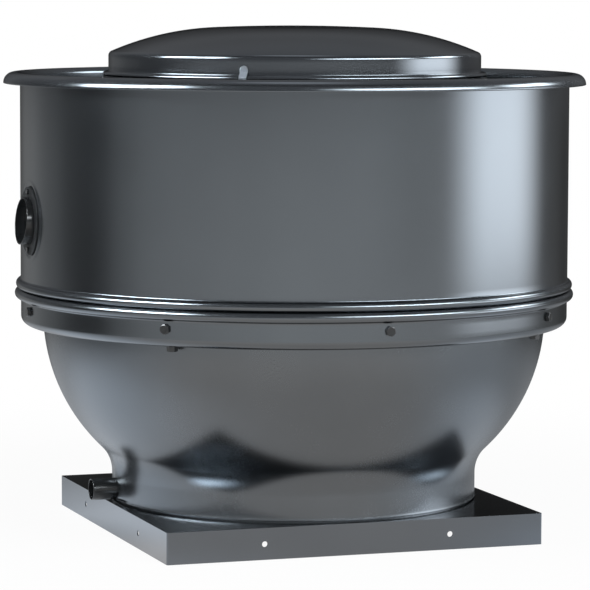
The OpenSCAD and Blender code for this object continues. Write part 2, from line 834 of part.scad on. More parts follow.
module frame_bolts() {
    color("#8a8d90") for (x = frame_bolts_x) translate([x, frame_bolt_y, deck_z + frame_t])
        bolt(frame_bolt_d, frame_t + floor_t + frame_bolt_end, 16, 6.5);
}

// Bearing housings: a foot with a round boss, as on a pillow block
bearing_bolt_d = 12;
bearing_bolt_af = 18;
bearing_bolt_end = 9;
bearing_foot_t = 14;

module bearing_housing() {
    difference() {
        union() {
            translate([-bearing_foot_l / 2, bearing_base - bearing_foot_t, -bearing_h / 2])
                cube([bearing_foot_l, bearing_foot_t, bearing_h]);
            translate([0, 0, -bearing_h / 2]) cylinder(r = bearing_r + 9, h = bearing_h);
            translate([-30, 0, -bearing_h / 2]) cube([60, bearing_base - 5, bearing_h]);
        }
        translate([0, 0, -bearing_h]) cylinder(r = bearing_r + run, h = 2 * bearing_h);
        for (s = [-1, 1]) translate([s * bearing_bolt_x, bearing_base - bearing_foot_t - eps, 0])
            rod_y(bearing_bolt_d / 2 + fit, bearing_foot_t + 2 * eps);
    }
}

module bearing_housings() {
    color("#3d5a4c") for (z = bearings_z) translate([0, 0, z]) bearing_housing();
}

module bearing_bolts() {
    color("#8a8d90") for (z = bearings_z, s = [-1, 1])
        translate([s * bearing_bolt_x, bearing_base - bearing_foot_t, z]) rotate([90, 0, 0])
            bolt(bearing_bolt_d, bearing_foot_t + frame_t + bearing_bolt_end, bearing_bolt_af, 7.5);
}

module bearing_outer_rings() {
    color("silver") for (z = bearings_z) hoop(bearing_r, race_r + run, z - bearing_w / 2, bearing_w);
}

// Motor slide plate, held off the drive frame by four threaded studs
module motor_slide_plate() {
    color("#9aa0a6") difference() {
        translate([-frame_w / 2, slide_y, slide_z]) cube([frame_w, slide_t, slide_h]);
        for (z = studs_z, s = [-1, 1]) translate([s * stud_x, slide_y - eps, z])
            rod_y(stud_d / 2 + fit, slide_t + 2 * eps);
        for (z = feet_z, s = [-1, 1]) translate([s * foot_x, slide_y - eps, z])
            rod_y(foot_bolt_d / 2 + fit, slide_t + 2 * eps);
    }
}

stud_nut_h = 8;
stud_end = 13;

module tension_studs() {
    color("#8a8d90") for (z = studs_z, s = [-1, 1]) translate([s * stud_x, frame_y - stud_end, z])
        rod_y(stud_d / 2, slide_y + slide_t + 2 * stud_end - frame_y);
}

module tension_nuts() {
    faces = [frame_y - stud_nut_h, frame_y + frame_t, slide_y - stud_nut_h, slide_y + slide_t];
    color("#8a8d90") for (z = studs_z, s = [-1, 1], y = faces) translate([s * stud_x, y, z])
        rotate([-90, 0, 0]) rotate(30) nut(stud_d, 18, stud_nut_h);
}

// Motor: a finned body on two feet, end bells, stator and cowl
foot_bolt_d = 9;
foot_bolt_end = 10;
foot_t = 9;
foot_in_x = 38;
foot_out = 13;

module motor_section() {
    difference() {
        union() {
            circle(motor_r);
            for (i = [0 : fin_n - 1]) rotate((i + 0.5) * 360 / fin_n)
                translate([motor_r - 3, -1.4]) square([3 + fin_h, 2.8]);
        }
        circle(stator_r + run);
    }
}

module motor_foot_section() {
    difference() {
        for (s = [-1, 1]) polygon([
            [s * foot_in_x, -motor_r + 14],
            [s * foot_in_x, -motor_foot_h],
            [s * (foot_x + foot_out), -motor_foot_h],
            [s * (foot_x + foot_out), foot_t - motor_foot_h],
            [s * (foot_x - 11), foot_t - motor_foot_h],
            [s * (foot_x - 11), -motor_r + 24]
        ]);
        circle(motor_r - 2);
    }
}

module motor_frame() {
    color("#44484c") difference() {
        translate([0, centre_d, motor_low_z]) {
            linear_extrude(motor_l) motor_section();
            translate([0, 0, 10]) linear_extrude(motor_l - 20) motor_foot_section();
        }
        for (z = feet_z, s = [-1, 1])
            translate([s * foot_x, slide_y + slide_t - eps, z])
                rod_y(foot_bolt_d / 2 + fit, foot_t + 2 * eps);
    }
}

module motor_end_bell() {
    difference() {
        union() {
            cylinder(r = motor_r, h = bell_h * 0.4);
            translate([0, 0, bell_h * 0.4]) cylinder(r1 = motor_r, r2 = 40, h = bell_h * 0.4);
            cylinder(r = 34, h = bell_h);
        }
        translate([0, 0, -eps]) cylinder(r = motor_shaft_d / 2 + run, h = bell_h + 2 * eps);
    }
}

module motor_end_bells() {
    color("#44484c") translate([0, centre_d, 0]) {
        translate([0, 0, motor_top_z]) motor_end_bell();
        translate([0, 0, motor_low_z]) mirror([0, 0, 1]) motor_end_bell();
    }
}

cowl_z = motor_low_z - bell_h * 0.4;

module motor_fan_cowl() {
    color("#303336") translate([0, centre_d, cowl_z]) difference() {
        translate([0, 0, -cowl_l]) cylinder(r = motor_r + 3, h = cowl_l + bell_h * 0.4);
        translate([0, 0, 2 - cowl_l]) cylinder(r = motor_r + fit, h = cowl_l + bell_h);
        around(12, 0) translate([44, 0, -cowl_l - eps]) cylinder(r = 7, h = 5);
        around(8, 0) translate([24, 0, -cowl_l - eps]) cylinder(r = 6, h = 5);
    }
}

core_inset = 30;
core_l = motor_l - 2 * core_inset;
core_gap = 0.6;

module motor_stator() {
    color("#7a4a32") translate([0, centre_d, 0])
        hoop(stator_r, rotor_r + core_gap, motor_low_z + core_inset, core_l);
}

module motor_feet_bolts() {
    color("#8a8d90") for (z = feet_z, s = [-1, 1])
        translate([s * foot_x, slide_y + slide_t + foot_t, z])
            rotate([-90, 0, 0]) bolt(foot_bolt_d, foot_t + slide_t + foot_bolt_end, 14, 6);
}

// Conduit box on the side of the motor
conduit_x = motor_r + fin_h + fit;
conduit_w = 56;
conduit_h = 78;
conduit_d = 42;

module conduit_box() {
    z = motor_low_z + motor_l / 2 - conduit_h / 2;
    color("#44484c") translate([conduit_x, centre_d - conduit_w / 2, z]) difference() {
        cube([conduit_d, conduit_w, conduit_h]);
        translate([2, 2, 2]) cube([conduit_d, conduit_w - 4, conduit_h - 4]);
        translate([conduit_d / 2, conduit_w / 2, -eps]) cylinder(r = 11, h = 4);
    }
}

module conduit_lid() {
    z = motor_low_z + motor_l / 2 - conduit_h / 2;
    color("#44484c") translate([conduit_x + conduit_d, centre_d - conduit_w / 2, z]) union() {
        cube([2, conduit_w, conduit_h]);
        for (y = [10, conduit_w - 10], h = [10, conduit_h - 10]) translate([2, y, h])
            rod_x(3, 2);
    }
}

// Belt: one trapezoid section, turned round both pulleys and run straight between them
module belt_section(outer) {
    drop = belt_h * tan(belt_a);
    polygon([
        [outer, -belt_w / 2],
        [outer, belt_w / 2],
        [outer - belt_h, belt_w / 2 - drop],
        [outer - belt_h, drop - belt_w / 2]
    ]);
}

module belt_straight() {
    translate([0, -lap, 0]) rotate([90, 0, 180]) linear_extrude(belt_run + 2 * lap)
        mirror([1, 0]) belt_section(fan_pulley_r);
}

module v_belt() {
    color("#161616") translate([0, 0, drive_z]) {
        rotate(180 - tangent_a) rotate_extrude(angle = 180 + 2 * tangent_a)
            belt_section(fan_pulley_r);
        translate([0, centre_d, 0]) rotate(tangent_a) rotate_extrude(angle = 180 - 2 * tangent_a)
            belt_section(motor_pulley_r);
        rotate(tangent_a) belt_straight();
        mirror([1, 0, 0]) rotate(tangent_a) belt_straight();
    }
}

// A pulley's section: rim with one groove, web and hub
fan_pulley_hub_l = 44;
motor_pulley_hub_l = 40;
motor_shaft_end = 26;

module pulley(rim_r, bore_r, hub_h) {
    groove_w = belt_w / 2 + air / cos(belt_a);
    floor_r = rim_r - groove_h;
    rotate_extrude() difference() {
        union() {
            translate([bore_r, -hub_h / 2]) square([14, hub_h]);
            translate([bore_r, -4]) square([rim_r - bore_r - 4, 8]);
            translate([floor_r - 5, -pulley_w / 2]) square([groove_h + 5, pulley_w]);
        }
        polygon([
            [rim_r + 1, groove_w + tan(belt_a)],
            [rim_r + 1, -groove_w - tan(belt_a)],
            [floor_r, groove_h * tan(belt_a) - groove_w],
            [floor_r, groove_w - groove_h * tan(belt_a)]
        ]);
    }
}

// Disconnect switch: an open box on the floor plate, its lid, screws and toggle
module switch_box() {
    color("#8f959b") translate([switch_at[0], switch_at[1], deck_z]) difference() {
        translate([-switch_w / 2, 0, 0]) cube([switch_w, switch_d, switch_h]);
        translate([switch_t - switch_w / 2, -eps, switch_t])
            cube([switch_w - 2 * switch_t, switch_d - switch_t + eps, switch_h - 2 * switch_t]);
        translate([0, switch_d / 2, switch_h - 3]) cylinder(r = 11, h = 5);
    }
}

toggle_z = deck_z + switch_h / 2;
toggle_r = 5;
toggle_y = switch_at[1] - 9;

module switch_lid() {
    color("#8f959b") translate([switch_at[0], switch_at[1], 0]) difference() {
        union() {
            translate([-switch_w / 2, -switch_t, deck_z]) cube([switch_w, switch_t, switch_h]);
            for (s = [-1, 1]) translate([s * 8 - 2, -switch_t - 11, toggle_z - 8])
                cube([4, 11, 16]);
        }
        for (s = [-1, 1]) translate([0, -eps - switch_t, toggle_z + s * 42])
            rod_y(2.2, switch_t + 2 * eps);
        translate([-12, toggle_y - switch_at[1], toggle_z]) rod_x(2 + run, 24);
    }
}

module switch_screws() {
    color("#8a8d90") for (s = [-1, 1])
        translate([switch_at[0], switch_at[1] - switch_t, toggle_z + s * 42])
            rotate([90, 0, 0]) union() {
                cylinder(r = 4, h = 2.4);
                translate([0, 0, -10]) cylinder(r = 2, h = 10);
            }
}

module switch_toggle() {
    color("#b02a20") translate([switch_at[0], toggle_y, toggle_z]) {
        translate([-10.5, 0, 0]) rod_x(2, 21);
        translate([-4, 0, 0]) rod_x(toggle_r, 8);
        rotate([60, 0, 0]) translate([-4, -3, 0]) cube([8, 6, 26]);
    }
}

// Fan wheel: back plate, blades, shroud and hub
hub_bolt_r = 42;
hub_bolt_d = 8;

module wheel_backplate() {
    color("silver") difference() {
        translate([0, 0, backplate_z]) cylinder(r = wheel_r + 1, h = wheel_t);
        translate([0, 0, backplate_z - eps]) cylinder(r = shaft_d / 2 + fit, h = wheel_t + 2 * eps);
        around(6) translate([hub_bolt_r, 0, backplate_z - eps])
            cylinder(r = hub_bolt_d / 2 + fit, h = wheel_t + 2 * eps);
    }
}

// The cone's upper edge, where it leaves the inlet curve
cone_a = 90 + shroud_slope;
cone_0 = shroud_c + shroud_curve_r * [cos(cone_a), sin(cone_a)];
cone_l = (wheel_r + 1 - cone_0[0]) / cos(shroud_slope);

module wheel_shroud() {
    color("silver") rotate_extrude() {
        translate(shroud_c) band(shroud_curve_r + wheel_t, shroud_curve_r, cone_a, 180);
        translate(cone_0) rotate(shroud_slope) translate([-lap, 0]) square([cone_l, wheel_t]);
        translate([eye_r, eye_z]) square([wheel_t, shroud_c[1] - eye_z]);
    }
}

// What the blades' lower edges leave free: the shroud and all below it, in straight steps
blade_step = 10;

module blade_free_section() {
    r = (shroud_curve_r + wheel_t + 0.1) / cos(blade_step / 2);
    edge = shroud_c + r * [cos(cone_a), sin(cone_a)];
    out = wheel_r + 5;
    polygon(concat(
        [for (a = [180 : -blade_step : cone_a]) shroud_c + r * [cos(a), sin(a)]],
        [
            [out, edge[1] + (out - edge[0]) * tan(shroud_slope)],
            [out, shroud_c[1] - 5],
            [shroud_c[0] - r, shroud_c[1] - 5]
        ]
    ));
}

module wheel_blades() {
    top = backplate_z - 0.1;
    low = shroud_c[1] + 2;
    color("silver") difference() {
        around(blade_n) translate([0, 0, low]) linear_extrude(top - low) intersection() {
            translate([blade_curve_c, 0]) difference() {
                circle(blade_curve_r + blade_t / 2);
                circle(blade_curve_r - blade_t / 2);
            }
            difference() {
                circle(wheel_r - 1);
                circle(blade_in_r);
            }
            translate([-wheel_r, 0]) square([2 * wheel_r, wheel_r]);
        }
        rotate_extrude() blade_free_section();
    }
}

module wheel_hub() {
    color("gray") difference() {
        translate([0, 0, hub_z]) {
            cylinder(r = hub_flange_r, h = 8);
            cylinder(r = hub_r, h = hub_h);
        }
        translate([0, 0, hub_z - eps]) cylinder(r = shaft_d / 2 + run, h = hub_h + 2 * eps);
        around(6) translate([hub_bolt_r, 0, hub_z - eps])
            cylinder(r = hub_bolt_d / 2 + fit, h = 12);
    }
}

module hub_bolts() {
    color("#8a8d90") around(6) translate([hub_bolt_r, 0, hub_z + 8])
        bolt(hub_bolt_d, 8 + wheel_t + 5, 13, 5.5);
}

module fan_shaft() {
    color("silver") translate([0, 0, shaft_z]) union() {
        cylinder(r = shaft_d / 2, h = shaft_l);
        translate([0, 0, -5]) hex(19, 5);
    }
}

module bearing_inner_rings() {
    color("gray") for (z = bearings_z) hoop(race_r, shaft_d / 2 + run, z - 17, 34);
}

module fan_pulley() {
    color("#3b3f43") translate([0, 0, drive_z]) pulley(fan_pulley_r, shaft_d / 2 + run, fan_pulley_hub_l);
}

// Motor's turning pieces
module motor_shaft() {
    low = cowl_z - cowl_l + 10;
    color("silver") translate([0, centre_d, low])
        cylinder(r = motor_shaft_d / 2, h = drive_z + motor_shaft_end - low);
}

module motor_rotor() {
    color("gray") translate([0, centre_d, 0])
        hoop(rotor_r, motor_shaft_d / 2 + run, motor_low_z + core_inset, core_l);
}

motor_fan_r = 64;
motor_fan_hub_r = 24;
motor_fan_h = 15;
motor_fan_blade_t = 3;

module motor_fan() {
    z = cowl_z - cowl_l + 12;
    color("#2b2d30") translate([0, centre_d, z]) difference() {
        union() {
            cylinder(r = motor_fan_hub_r, h = motor_fan_h);
            cylinder(r = motor_fan_r - 2, h = 2.5);
            around(6) translate([motor_fan_hub_r - 8, -motor_fan_blade_t / 2, 0])
                cube([motor_fan_r - motor_fan_hub_r + 8, motor_fan_blade_t, motor_fan_h]);
        }
        translate([0, 0, -eps]) cylinder(r = motor_shaft_d / 2 + run, h = motor_fan_h + 2 * eps);
    }
}

module motor_pulley() {
    color("#3b3f43") translate([0, centre_d, drive_z])
        pulley(motor_pulley_r, motor_shaft_d / 2 + run, motor_pulley_hub_l);
}

// Motor cover: tubular rim bead, wall, shoulder and two arc dome
shoulder_c = [cover_r - shoulder_r, shoulder_z];
shoulder_a = 66.5;
edge_c = shoulder_c - (dome_edge_r - shoulder_r) * [cos(shoulder_a), sin(shoulder_a)];
crown_a = acos((crown_end_r - edge_c[0]) / dome_edge_r);
crown_r = crown_end_r / cos(crown_a);
crown_z = edge_c[1] - (crown_r - dome_edge_r) * sin(crown_a);

module cover_section(inset) {
    translate([0, seat_z + rim_bead_r]) square([cover_r - inset, shoulder_z - seat_z - rim_bead_r]);
    translate([0, shoulder_z - eps]) square([shoulder_c[0], eps]);
    intersection() {
        translate([0, shoulder_z]) square([cover_r, 80]);
        translate(shoulder_c) circle(shoulder_r - inset);
    }
    edge_sector(inset);
    intersection() {
        translate([0, shoulder_z]) square([crown_end_r, 80]);
        translate([0, crown_z]) circle(crown_r - inset, $fn = 720);
    }
}

module edge_sector(inset) {
    intersection() {
        translate([0, shoulder_z]) square([shoulder_c[0] + shoulder_r * cos(shoulder_a), 80]);
        translate(edge_c) intersection() {
            circle(dome_edge_r - inset, $fn = 720);
            polygon([
                [crown_end_r - edge_c[0], 0],
                [crown_end_r - edge_c[0], 2 * dome_edge_r],
                2 * dome_edge_r * [cos(shoulder_a), sin(shoulder_a)],
                (dome_edge_r - shoulder_r) * [cos(shoulder_a), sin(shoulder_a)]
            ]);
        }
    }
}

module motor_cover() {
    color("#43474a") rotate_extrude($fn = 192) {
        difference() {
            cover_section(0);
            cover_section(cover_t);
        }
        translate([rim_bead_c, rim_bead_z]) difference() {
            circle(rim_bead_r);
            circle(rim_bead_r - cover_t);
        }
        translate([cover_r - cover_t, rim_bead_z - 1])
            square([rim_bead_c - rim_bead_r - cover_r + 2 * cover_t, 2]);
    }
}

// Latch: an eye on the pin, a strap outside the rim bead, a slope over it and a finger tab
latch_slope = 45;
latch_strap_r = rest_r + latch_t / 2 + 1.2;
latch_tab_r = cover_r + latch_t / 2 + 1.3;
bead_gap = rim_bead_r + air + latch_t / 2;
latch_bend = [
    latch_strap_r,
    rim_bead_z + (bead_gap - (latch_strap_r - rim_bead_c) * cos(latch_slope)) / sin(latch_slope)
];
latch_knee = [latch_tab_r, latch_bend[1] + (latch_strap_r - latch_tab_r) / tan(latch_slope)];
latch_tip = [latch_tab_r, latch_knee[1] + latch_tab - latch_w / 2];

module strap(p, q, t) {
    d = q - p;
    l = norm(d);
    n = t / (2 * l) * [-d[1], d[0]];
    polygon([p + n, q + n, q - n, p - n]);
}

module latch_section() {
    pin = [latch_r, latch_pin_z];
    difference() {
        union() {
            translate(pin) circle(latch_pin_d / 2 + eye_wall, $fn = 48);
            strap([latch_strap_r, latch_pin_z], latch_bend, latch_t);
            strap(latch_bend, latch_knee, latch_t);
            strap(latch_knee, latch_tip, latch_t);
            for (p = [latch_bend, latch_knee]) translate(p) circle(latch_t / 2, $fn = 32);
        }
        translate(pin) circle(latch_pin_d / 2 + run, $fn = 48);
    }
}

module latch() {
    translate([0, latch_w / 2, 0]) rotate([90, 0, 0]) linear_extrude(latch_w) latch_section();
    translate([latch_tab_r - latch_t / 2, 0, latch_tip[1]]) rod_x(latch_w / 2, latch_t);
}

module latch_1() {
    color("#a4abb2") rotate(latch_a) latch();
}

module latch_2() {
    color("#a4abb2") rotate(latch_a + 120) latch();
}

module latch_3() {
    color("#a4abb2") rotate(latch_a + 240) latch();
}

curb_cap();
inlet_venturi();
venturi_screws();
lower_windband();
drain_spout();
support_ring();
ring_bolts();
ring_nuts();
strut_bolts();
strut_nuts();
support_struts();
isolators();
isolator_bolts();
floor_plate();
compartment_shell();
cover_rest_ring();
latch_brackets();
latch_pins();
upper_windband();
breather_flange();
breather_tube();
breather_screws();
drive_frame();
frame_bolts();
bearing_housings();
bearing_bolts();
bearing_outer_rings();
motor_slide_plate();
tension_studs();
tension_nuts();
motor_frame();
motor_end_bells();
motor_fan_cowl();
motor_stator();
motor_feet_bolts();
conduit_box();
conduit_lid();
v_belt();
switch_box();
switch_lid();
switch_screws();
wheel_backplate();
wheel_blades();
wheel_shroud();
wheel_hub();
hub_bolts();
fan_shaft();
bearing_inner_rings();
fan_pulley();
motor_shaft();
motor_rotor();
motor_fan();
motor_pulley();
motor_cover();
latch_1();
latch_2();
latch_3();
switch_toggle();
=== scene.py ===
"""Looks of the centrifugal roof exhaust fan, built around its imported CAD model.

Metres, in the CAD frame: origin on the fan's axis at the curb cap's lower edge, +Z up.
Sections are written in millimetres, radius first and height second.
"""

import json
import math

import bmesh
import bpy
from mathutils import Matrix, Vector


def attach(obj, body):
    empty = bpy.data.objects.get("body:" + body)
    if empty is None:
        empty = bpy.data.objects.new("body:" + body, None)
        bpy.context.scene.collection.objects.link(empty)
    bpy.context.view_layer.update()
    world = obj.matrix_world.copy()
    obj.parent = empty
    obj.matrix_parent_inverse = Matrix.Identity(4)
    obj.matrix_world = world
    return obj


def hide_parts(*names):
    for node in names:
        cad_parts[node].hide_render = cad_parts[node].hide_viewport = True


MM = 0.001
SENSOR_MM = 36

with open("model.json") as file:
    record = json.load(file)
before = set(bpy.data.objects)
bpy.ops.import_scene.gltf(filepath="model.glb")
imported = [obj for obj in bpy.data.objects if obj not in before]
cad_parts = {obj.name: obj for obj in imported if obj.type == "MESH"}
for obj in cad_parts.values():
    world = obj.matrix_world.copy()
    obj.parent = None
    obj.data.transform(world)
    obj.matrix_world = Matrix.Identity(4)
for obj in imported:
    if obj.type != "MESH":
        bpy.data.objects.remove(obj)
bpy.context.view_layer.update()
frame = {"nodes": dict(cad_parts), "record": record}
nodes = frame["nodes"]
scene = bpy.context.scene


# Camera, from a fit to the curb cap's corners and the round bands
VIEW_AZ = math.radians(19.1)
VIEW_PITCH = math.radians(5.371)
VIEW_ROLL = math.radians(0.206)
FOCAL_PX = 3258.245
IMAGE_PX = 590
EYE = Vector((-1.8425, -5.3264, 0.93143))


def make_camera():
    data = bpy.data.cameras.new("camera")
    data.sensor_width = SENSOR_MM
    data.lens = FOCAL_PX / IMAGE_PX * data.sensor_width
    data.clip_start, data.clip_end = 0.1, 100
    cam = bpy.data.objects.new("camera", data)
    scene.collection.objects.link(cam)
    right = Vector((math.cos(VIEW_AZ), -math.sin(VIEW_AZ), 0))
    ahead = Vector((math.sin(VIEW_AZ), math.cos(VIEW_AZ), 0)) * math.cos(VIEW_PITCH)
    ahead.z = -math.sin(VIEW_PITCH)
    up = right.cross(ahead)
    turned_right = right * math.cos(VIEW_ROLL) + up * math.sin(VIEW_ROLL)
    turned_up = up * math.cos(VIEW_ROLL) - right * math.sin(VIEW_ROLL)
    axes = Matrix((turned_right, turned_up, -ahead)).transposed()
    cam.matrix_world = Matrix.Translation(EYE) @ axes.to_4x4()
    scene.camera = cam


make_camera()
scene.view_settings.view_transform = "Standard"


# Node helpers
def node(tree, kind, **values):
    n = tree.nodes.new(kind)
    for key, value in values.items():
        if key in n.inputs:
            n.inputs[key].default_value = value
        else:
            setattr(n, key, value)
    return n


def math_node(tree, operation, a, b=None):
    n = tree.nodes.new("ShaderNodeMath")
    n.operation = operation
    for k, v in enumerate((a, b)):
        if v is None:
            continue
        if isinstance(v, (int, float)):
            n.inputs[k].default_value = v
        else:
            tree.links.new(v, n.inputs[k])
    return n.outputs[0]


def remap(tree, value, low, high, to_low, to_high, smooth=True):
    n = tree.nodes.new("ShaderNodeMapRange")
    n.interpolation_type = "SMOOTHSTEP" if smooth else "LINEAR"
    tree.links.new(value, n.inputs["Value"])
    n.inputs["From Min"].default_value = low
    n.inputs["From Max"].default_value = high
    n.inputs["To Min"].default_value = to_low
    n.inputs["To Max"].default_value = to_high
    return n.outputs["Result"]


def noise(tree, vector, scale, detail=2.0, rough=0.5):
    n = tree.nodes.new("ShaderNodeTexNoise")
    n.inputs["Scale"].default_value = scale
    n.inputs["Detail"].default_value = detail
    n.inputs["Roughness"].default_value = rough
    tree.links.new(vector, n.inputs["Vector"])
    return n.outputs["Fac"]


# How fast turned rings change round the axis, in metres per radian
RING_DRIFT = 0.004
# How many slow colour clouds there are per metre, and how deep grain and rings go
CLOUDS_PER_M = 7.0
BUMP_DEPTH = 0.0003
# Where a convex edge begins to wear, and where it is worn, as Cycles measures pointiness
WEAR_FROM, WEAR_TO = 0.52, 0.6


def turned_coordinates(tree, position):
    """Radius, height and angle of a point. Noise over it runs in rings round the axis."""
    split = tree.nodes.new("ShaderNodeSeparateXYZ")
    tree.links.new(position, split.inputs[0])
    x, y, z = split.outputs
    xx = math_node(tree, "MULTIPLY", x, x)
    yy = math_node(tree, "MULTIPLY", y, y)
    radius = math_node(tree, "SQRT", math_node(tree, "ADD", xx, yy))
    angle = math_node(tree, "ARCTAN2", y, x)
    ring = math_node(tree, "MULTIPLY", angle, RING_DRIFT)
    joined = tree.nodes.new("ShaderNodeCombineXYZ")
    for k, value in enumerate((radius, z, ring)):
        tree.links.new(value, joined.inputs[k])
    return joined.outputs[0]


def surface(name, color, rough, metallic=0.0, grain=0.0, grain_mm=1.2, rings=0.0, ring_mm=2.5,
            mottle=0.04, rough_spread=0.05, coat=0.0, wear=0.0, specular=0.5):
    """A procedural material: colour mottle, roughness spread, fine grain and turned rings."""
    m = bpy.data.materials.new(name)
    m.use_nodes = True
    tree = m.node_tree
    tree.nodes.clear()
    out = tree.nodes.new("ShaderNodeOutputMaterial")
    shader = tree.nodes.new("ShaderNodeBsdfPrincipled")
    tree.links.new(shader.outputs[0], out.inputs[0])
    shader.inputs["Metallic"].default_value = metallic
    shader.inputs["Coat Weight"].default_value = coat
    shader.inputs["Coat Roughness"].default_value = 0.2
    shader.inputs["Specular IOR Level"].default_value = specular
    place = tree.nodes.new("ShaderNodeTexCoord").outputs["Object"]
    cloud = noise(tree, place, CLOUDS_PER_M, 3.0)
    speck = noise(tree, place, 1 / (grain_mm * MM), 2.0, 0.6)

    mix = tree.nodes.new("ShaderNodeMix")
    mix.data_type = "RGBA"
    low = [c * (1 - mottle) for c in color]
    high = [min(1, c * (1 + mottle)) for c in color]
    mix.inputs["A"].default_value = (*low, 1)
    mix.inputs["B"].default_value = (*high, 1)
    both = math_node(tree, "ADD", math_node(tree, "MULTIPLY", cloud, 0.6),
                     math_node(tree, "MULTIPLY", speck, 0.4))
    tree.links.new(remap(tree, both, 0.35, 0.65, 0, 1), mix.inputs["Factor"])
    tint = mix.outputs["Result"]
    if wear:
        edge = remap(tree, tree.nodes.new("ShaderNodeNewGeometry").outputs["Pointiness"],
                     WEAR_FROM, WEAR_TO, 0, wear)
        worn = tree.nodes.new("ShaderNodeMix")
        worn.data_type = "RGBA"
        worn.inputs["B"].default_value = (*[min(1, c * 2.2 + 0.05) for c in color], 1)
        tree.links.new(edge, worn.inputs["Factor"])
        tree.links.new(tint, worn.inputs["A"])
        tint = worn.outputs["Result"]
    tree.links.new(tint, shader.inputs["Base Color"])

    spread = remap(tree, both, 0.3, 0.7, rough - rough_spread, rough + rough_spread)
    tree.links.new(spread, shader.inputs["Roughness"])

    normal = None
    if grain:
        bump = node(tree, "ShaderNodeBump", Strength=grain, Distance=BUMP_DEPTH)
        tree.links.new(speck, bump.inputs["Height"])
        normal = bump.outputs["Normal"]
    if rings:
        turned = turned_coordinates(tree, place)
        lines = noise(tree, turned, 1 / (ring_mm * MM), 4.0, 0.7)
        bump = node(tree, "ShaderNodeBump", Strength=rings, Distance=BUMP_DEPTH)
        tree.links.new(lines, bump.inputs["Height"])
        if normal:
            tree.links.new(normal, bump.inputs["Normal"])
        normal = bump.outputs["Normal"]
    if normal:
        tree.links.new(normal, shader.inputs["Normal"])
    return m


# The spun sheet's own colour, and all materials by the name that the pieces call them
BODY = (0.127, 0.139, 0.150)
MATERIALS = {
    "windband": surface("windband_metal", BODY, 0.19, 1.0, grain=0.04, rings=0.003,
                        rough_spread=0.015, mottle=0.03),
    "bowl": surface("bowl_metal", BODY, 0.26, 1.0, grain=0.12, rings=0.004,
                    rough_spread=0.02, mottle=0.04),
    "cover": surface("cover_metal", BODY, 0.15, 1.0, grain=0.05, rings=0.003,
                     rough_spread=0.015, mottle=0.03),
    "curb_sheet": surface("curb_metal", (0.142, 0.158, 0.176), 0.14, 1.0, grain=0.08,
                          rough_spread=0.02, mottle=0.03),
    "mill_aluminium": surface("mill_aluminium", (0.48, 0.49, 0.5), 0.34, 1.0, grain=0.06,
                              rings=0.08, rough_spread=0.06, mottle=0.05),
    "black_fitting": surface("black_fitting", (0.015, 0.016, 0.017), 0.2, 0.0, grain=0.05,
                             grain_mm=0.8, mottle=0.12, wear=0.25),
    "black_plate": surface("black_plate", (0.012, 0.013, 0.014), 0.5, 0.0, grain=0.08,
                           grain_mm=0.8, mottle=0.1, specular=0.15),
    "galvanised_steel": surface("galvanised_steel", (0.45, 0.47, 0.49), 0.4, 1.0, grain=0.08,
                                mottle=0.12, rough_spread=0.1),
    "plated_fastener": surface("plated_fastener", (0.58, 0.58, 0.55), 0.3, 1.0, grain=0.05,
                               grain_mm=0.6, mottle=0.06),
    "zinc_latch": surface("zinc_latch", (0.5, 0.55, 0.6), 0.32, 1.0, grain=0.05,
                          grain_mm=0.6, mottle=0.06),
    "rubber": surface("rubber", (0.018, 0.018, 0.019), 0.6, 0.0, grain=0.2, grain_mm=0.7,
                      mottle=0.15, rough_spread=0.1),
    "cast_housing": surface("cast_housing", (0.07, 0.075, 0.08), 0.5, 0.0, grain=0.35,
                            grain_mm=1.6, mottle=0.1, wear=0.4),
    "ground_steel": surface("ground_steel", (0.55, 0.55, 0.55), 0.2, 1.0, rings=0.06,
                            ring_mm=0.8, mottle=0.04),
    "motor_enamel": surface("motor_enamel", (0.08, 0.086, 0.092), 0.38, 0.0, grain=0.2,
                            grain_mm=1.4, mottle=0.08, coat=0.3, wear=0.3),
    "motor_core": surface("motor_core", (0.12, 0.1, 0.09), 0.5, 1.0, rings=0.3, ring_mm=1.0),
    "moulded_plastic": surface("moulded_plastic", (0.045, 0.045, 0.05), 0.5, 0.0, grain=0.1,
                               grain_mm=0.8, mottle=0.08),
    "red_plastic": surface("red_plastic", (0.42, 0.025, 0.015), 0.35, 0.0, grain=0.05,
                           grain_mm=0.8, mottle=0.05),
}


# Sections
def arc(centre, radius, start, end, step=6.0):
    """Points of an arc in a section, from one direction to another, in degrees."""
    count = max(2, round(abs(end - start) / step))
    found = []
    for k in range(count + 1):
        a = math.radians(start + (end - start) * k / count)
        found.append((centre[0] + radius * math.cos(a), centre[1] + radius * math.sin(a)))
    return found


def line(p, q, step):
    """Points from p to q, both ends included, at most step apart."""
    count = max(1, math.ceil(math.dist(p, q) / step))
    return [(p[0] + (q[0] - p[0]) * k / count, p[1] + (q[1] - p[1]) * k / count)
            for k in range(count + 1)]


def joined(*runs):
    """One path from several runs of points, without repeated points."""
    path = []
    for run in runs:
        for p in run:
            if not path or math.dist(path[-1], p) > 0.02:
                path.append(p)
    return path


def sheet(path, t):
    """A closed section: the path, and its copy t to the left, with rounded ends."""
    normals = []
    for k in range(len(path)):
        a, b = path[max(k - 1, 0)], path[min(k + 1, len(path) - 1)]
        d = math.dist(a, b)
        normals.append((-(b[1] - a[1]) / d, (b[0] - a[0]) / d))
    other = [(p[0] + n[0] * t, p[1] + n[1] * t) for p, n in zip(path, normals)]

    def end(p, n, way):
        out = (way * n[1], -way * n[0])
        return [(p[0] + n[0] * t * s + out[0] * t * e, p[1] + n[1] * t * s + out[1] * t * e)
                for s, e in ((0.15, 0.25), (0.5, 0.4), (0.85, 0.25))]

    return path + end(path[-1], normals[-1], 1) + other[::-1] + end(path[0], normals[0], -1)[::-1]


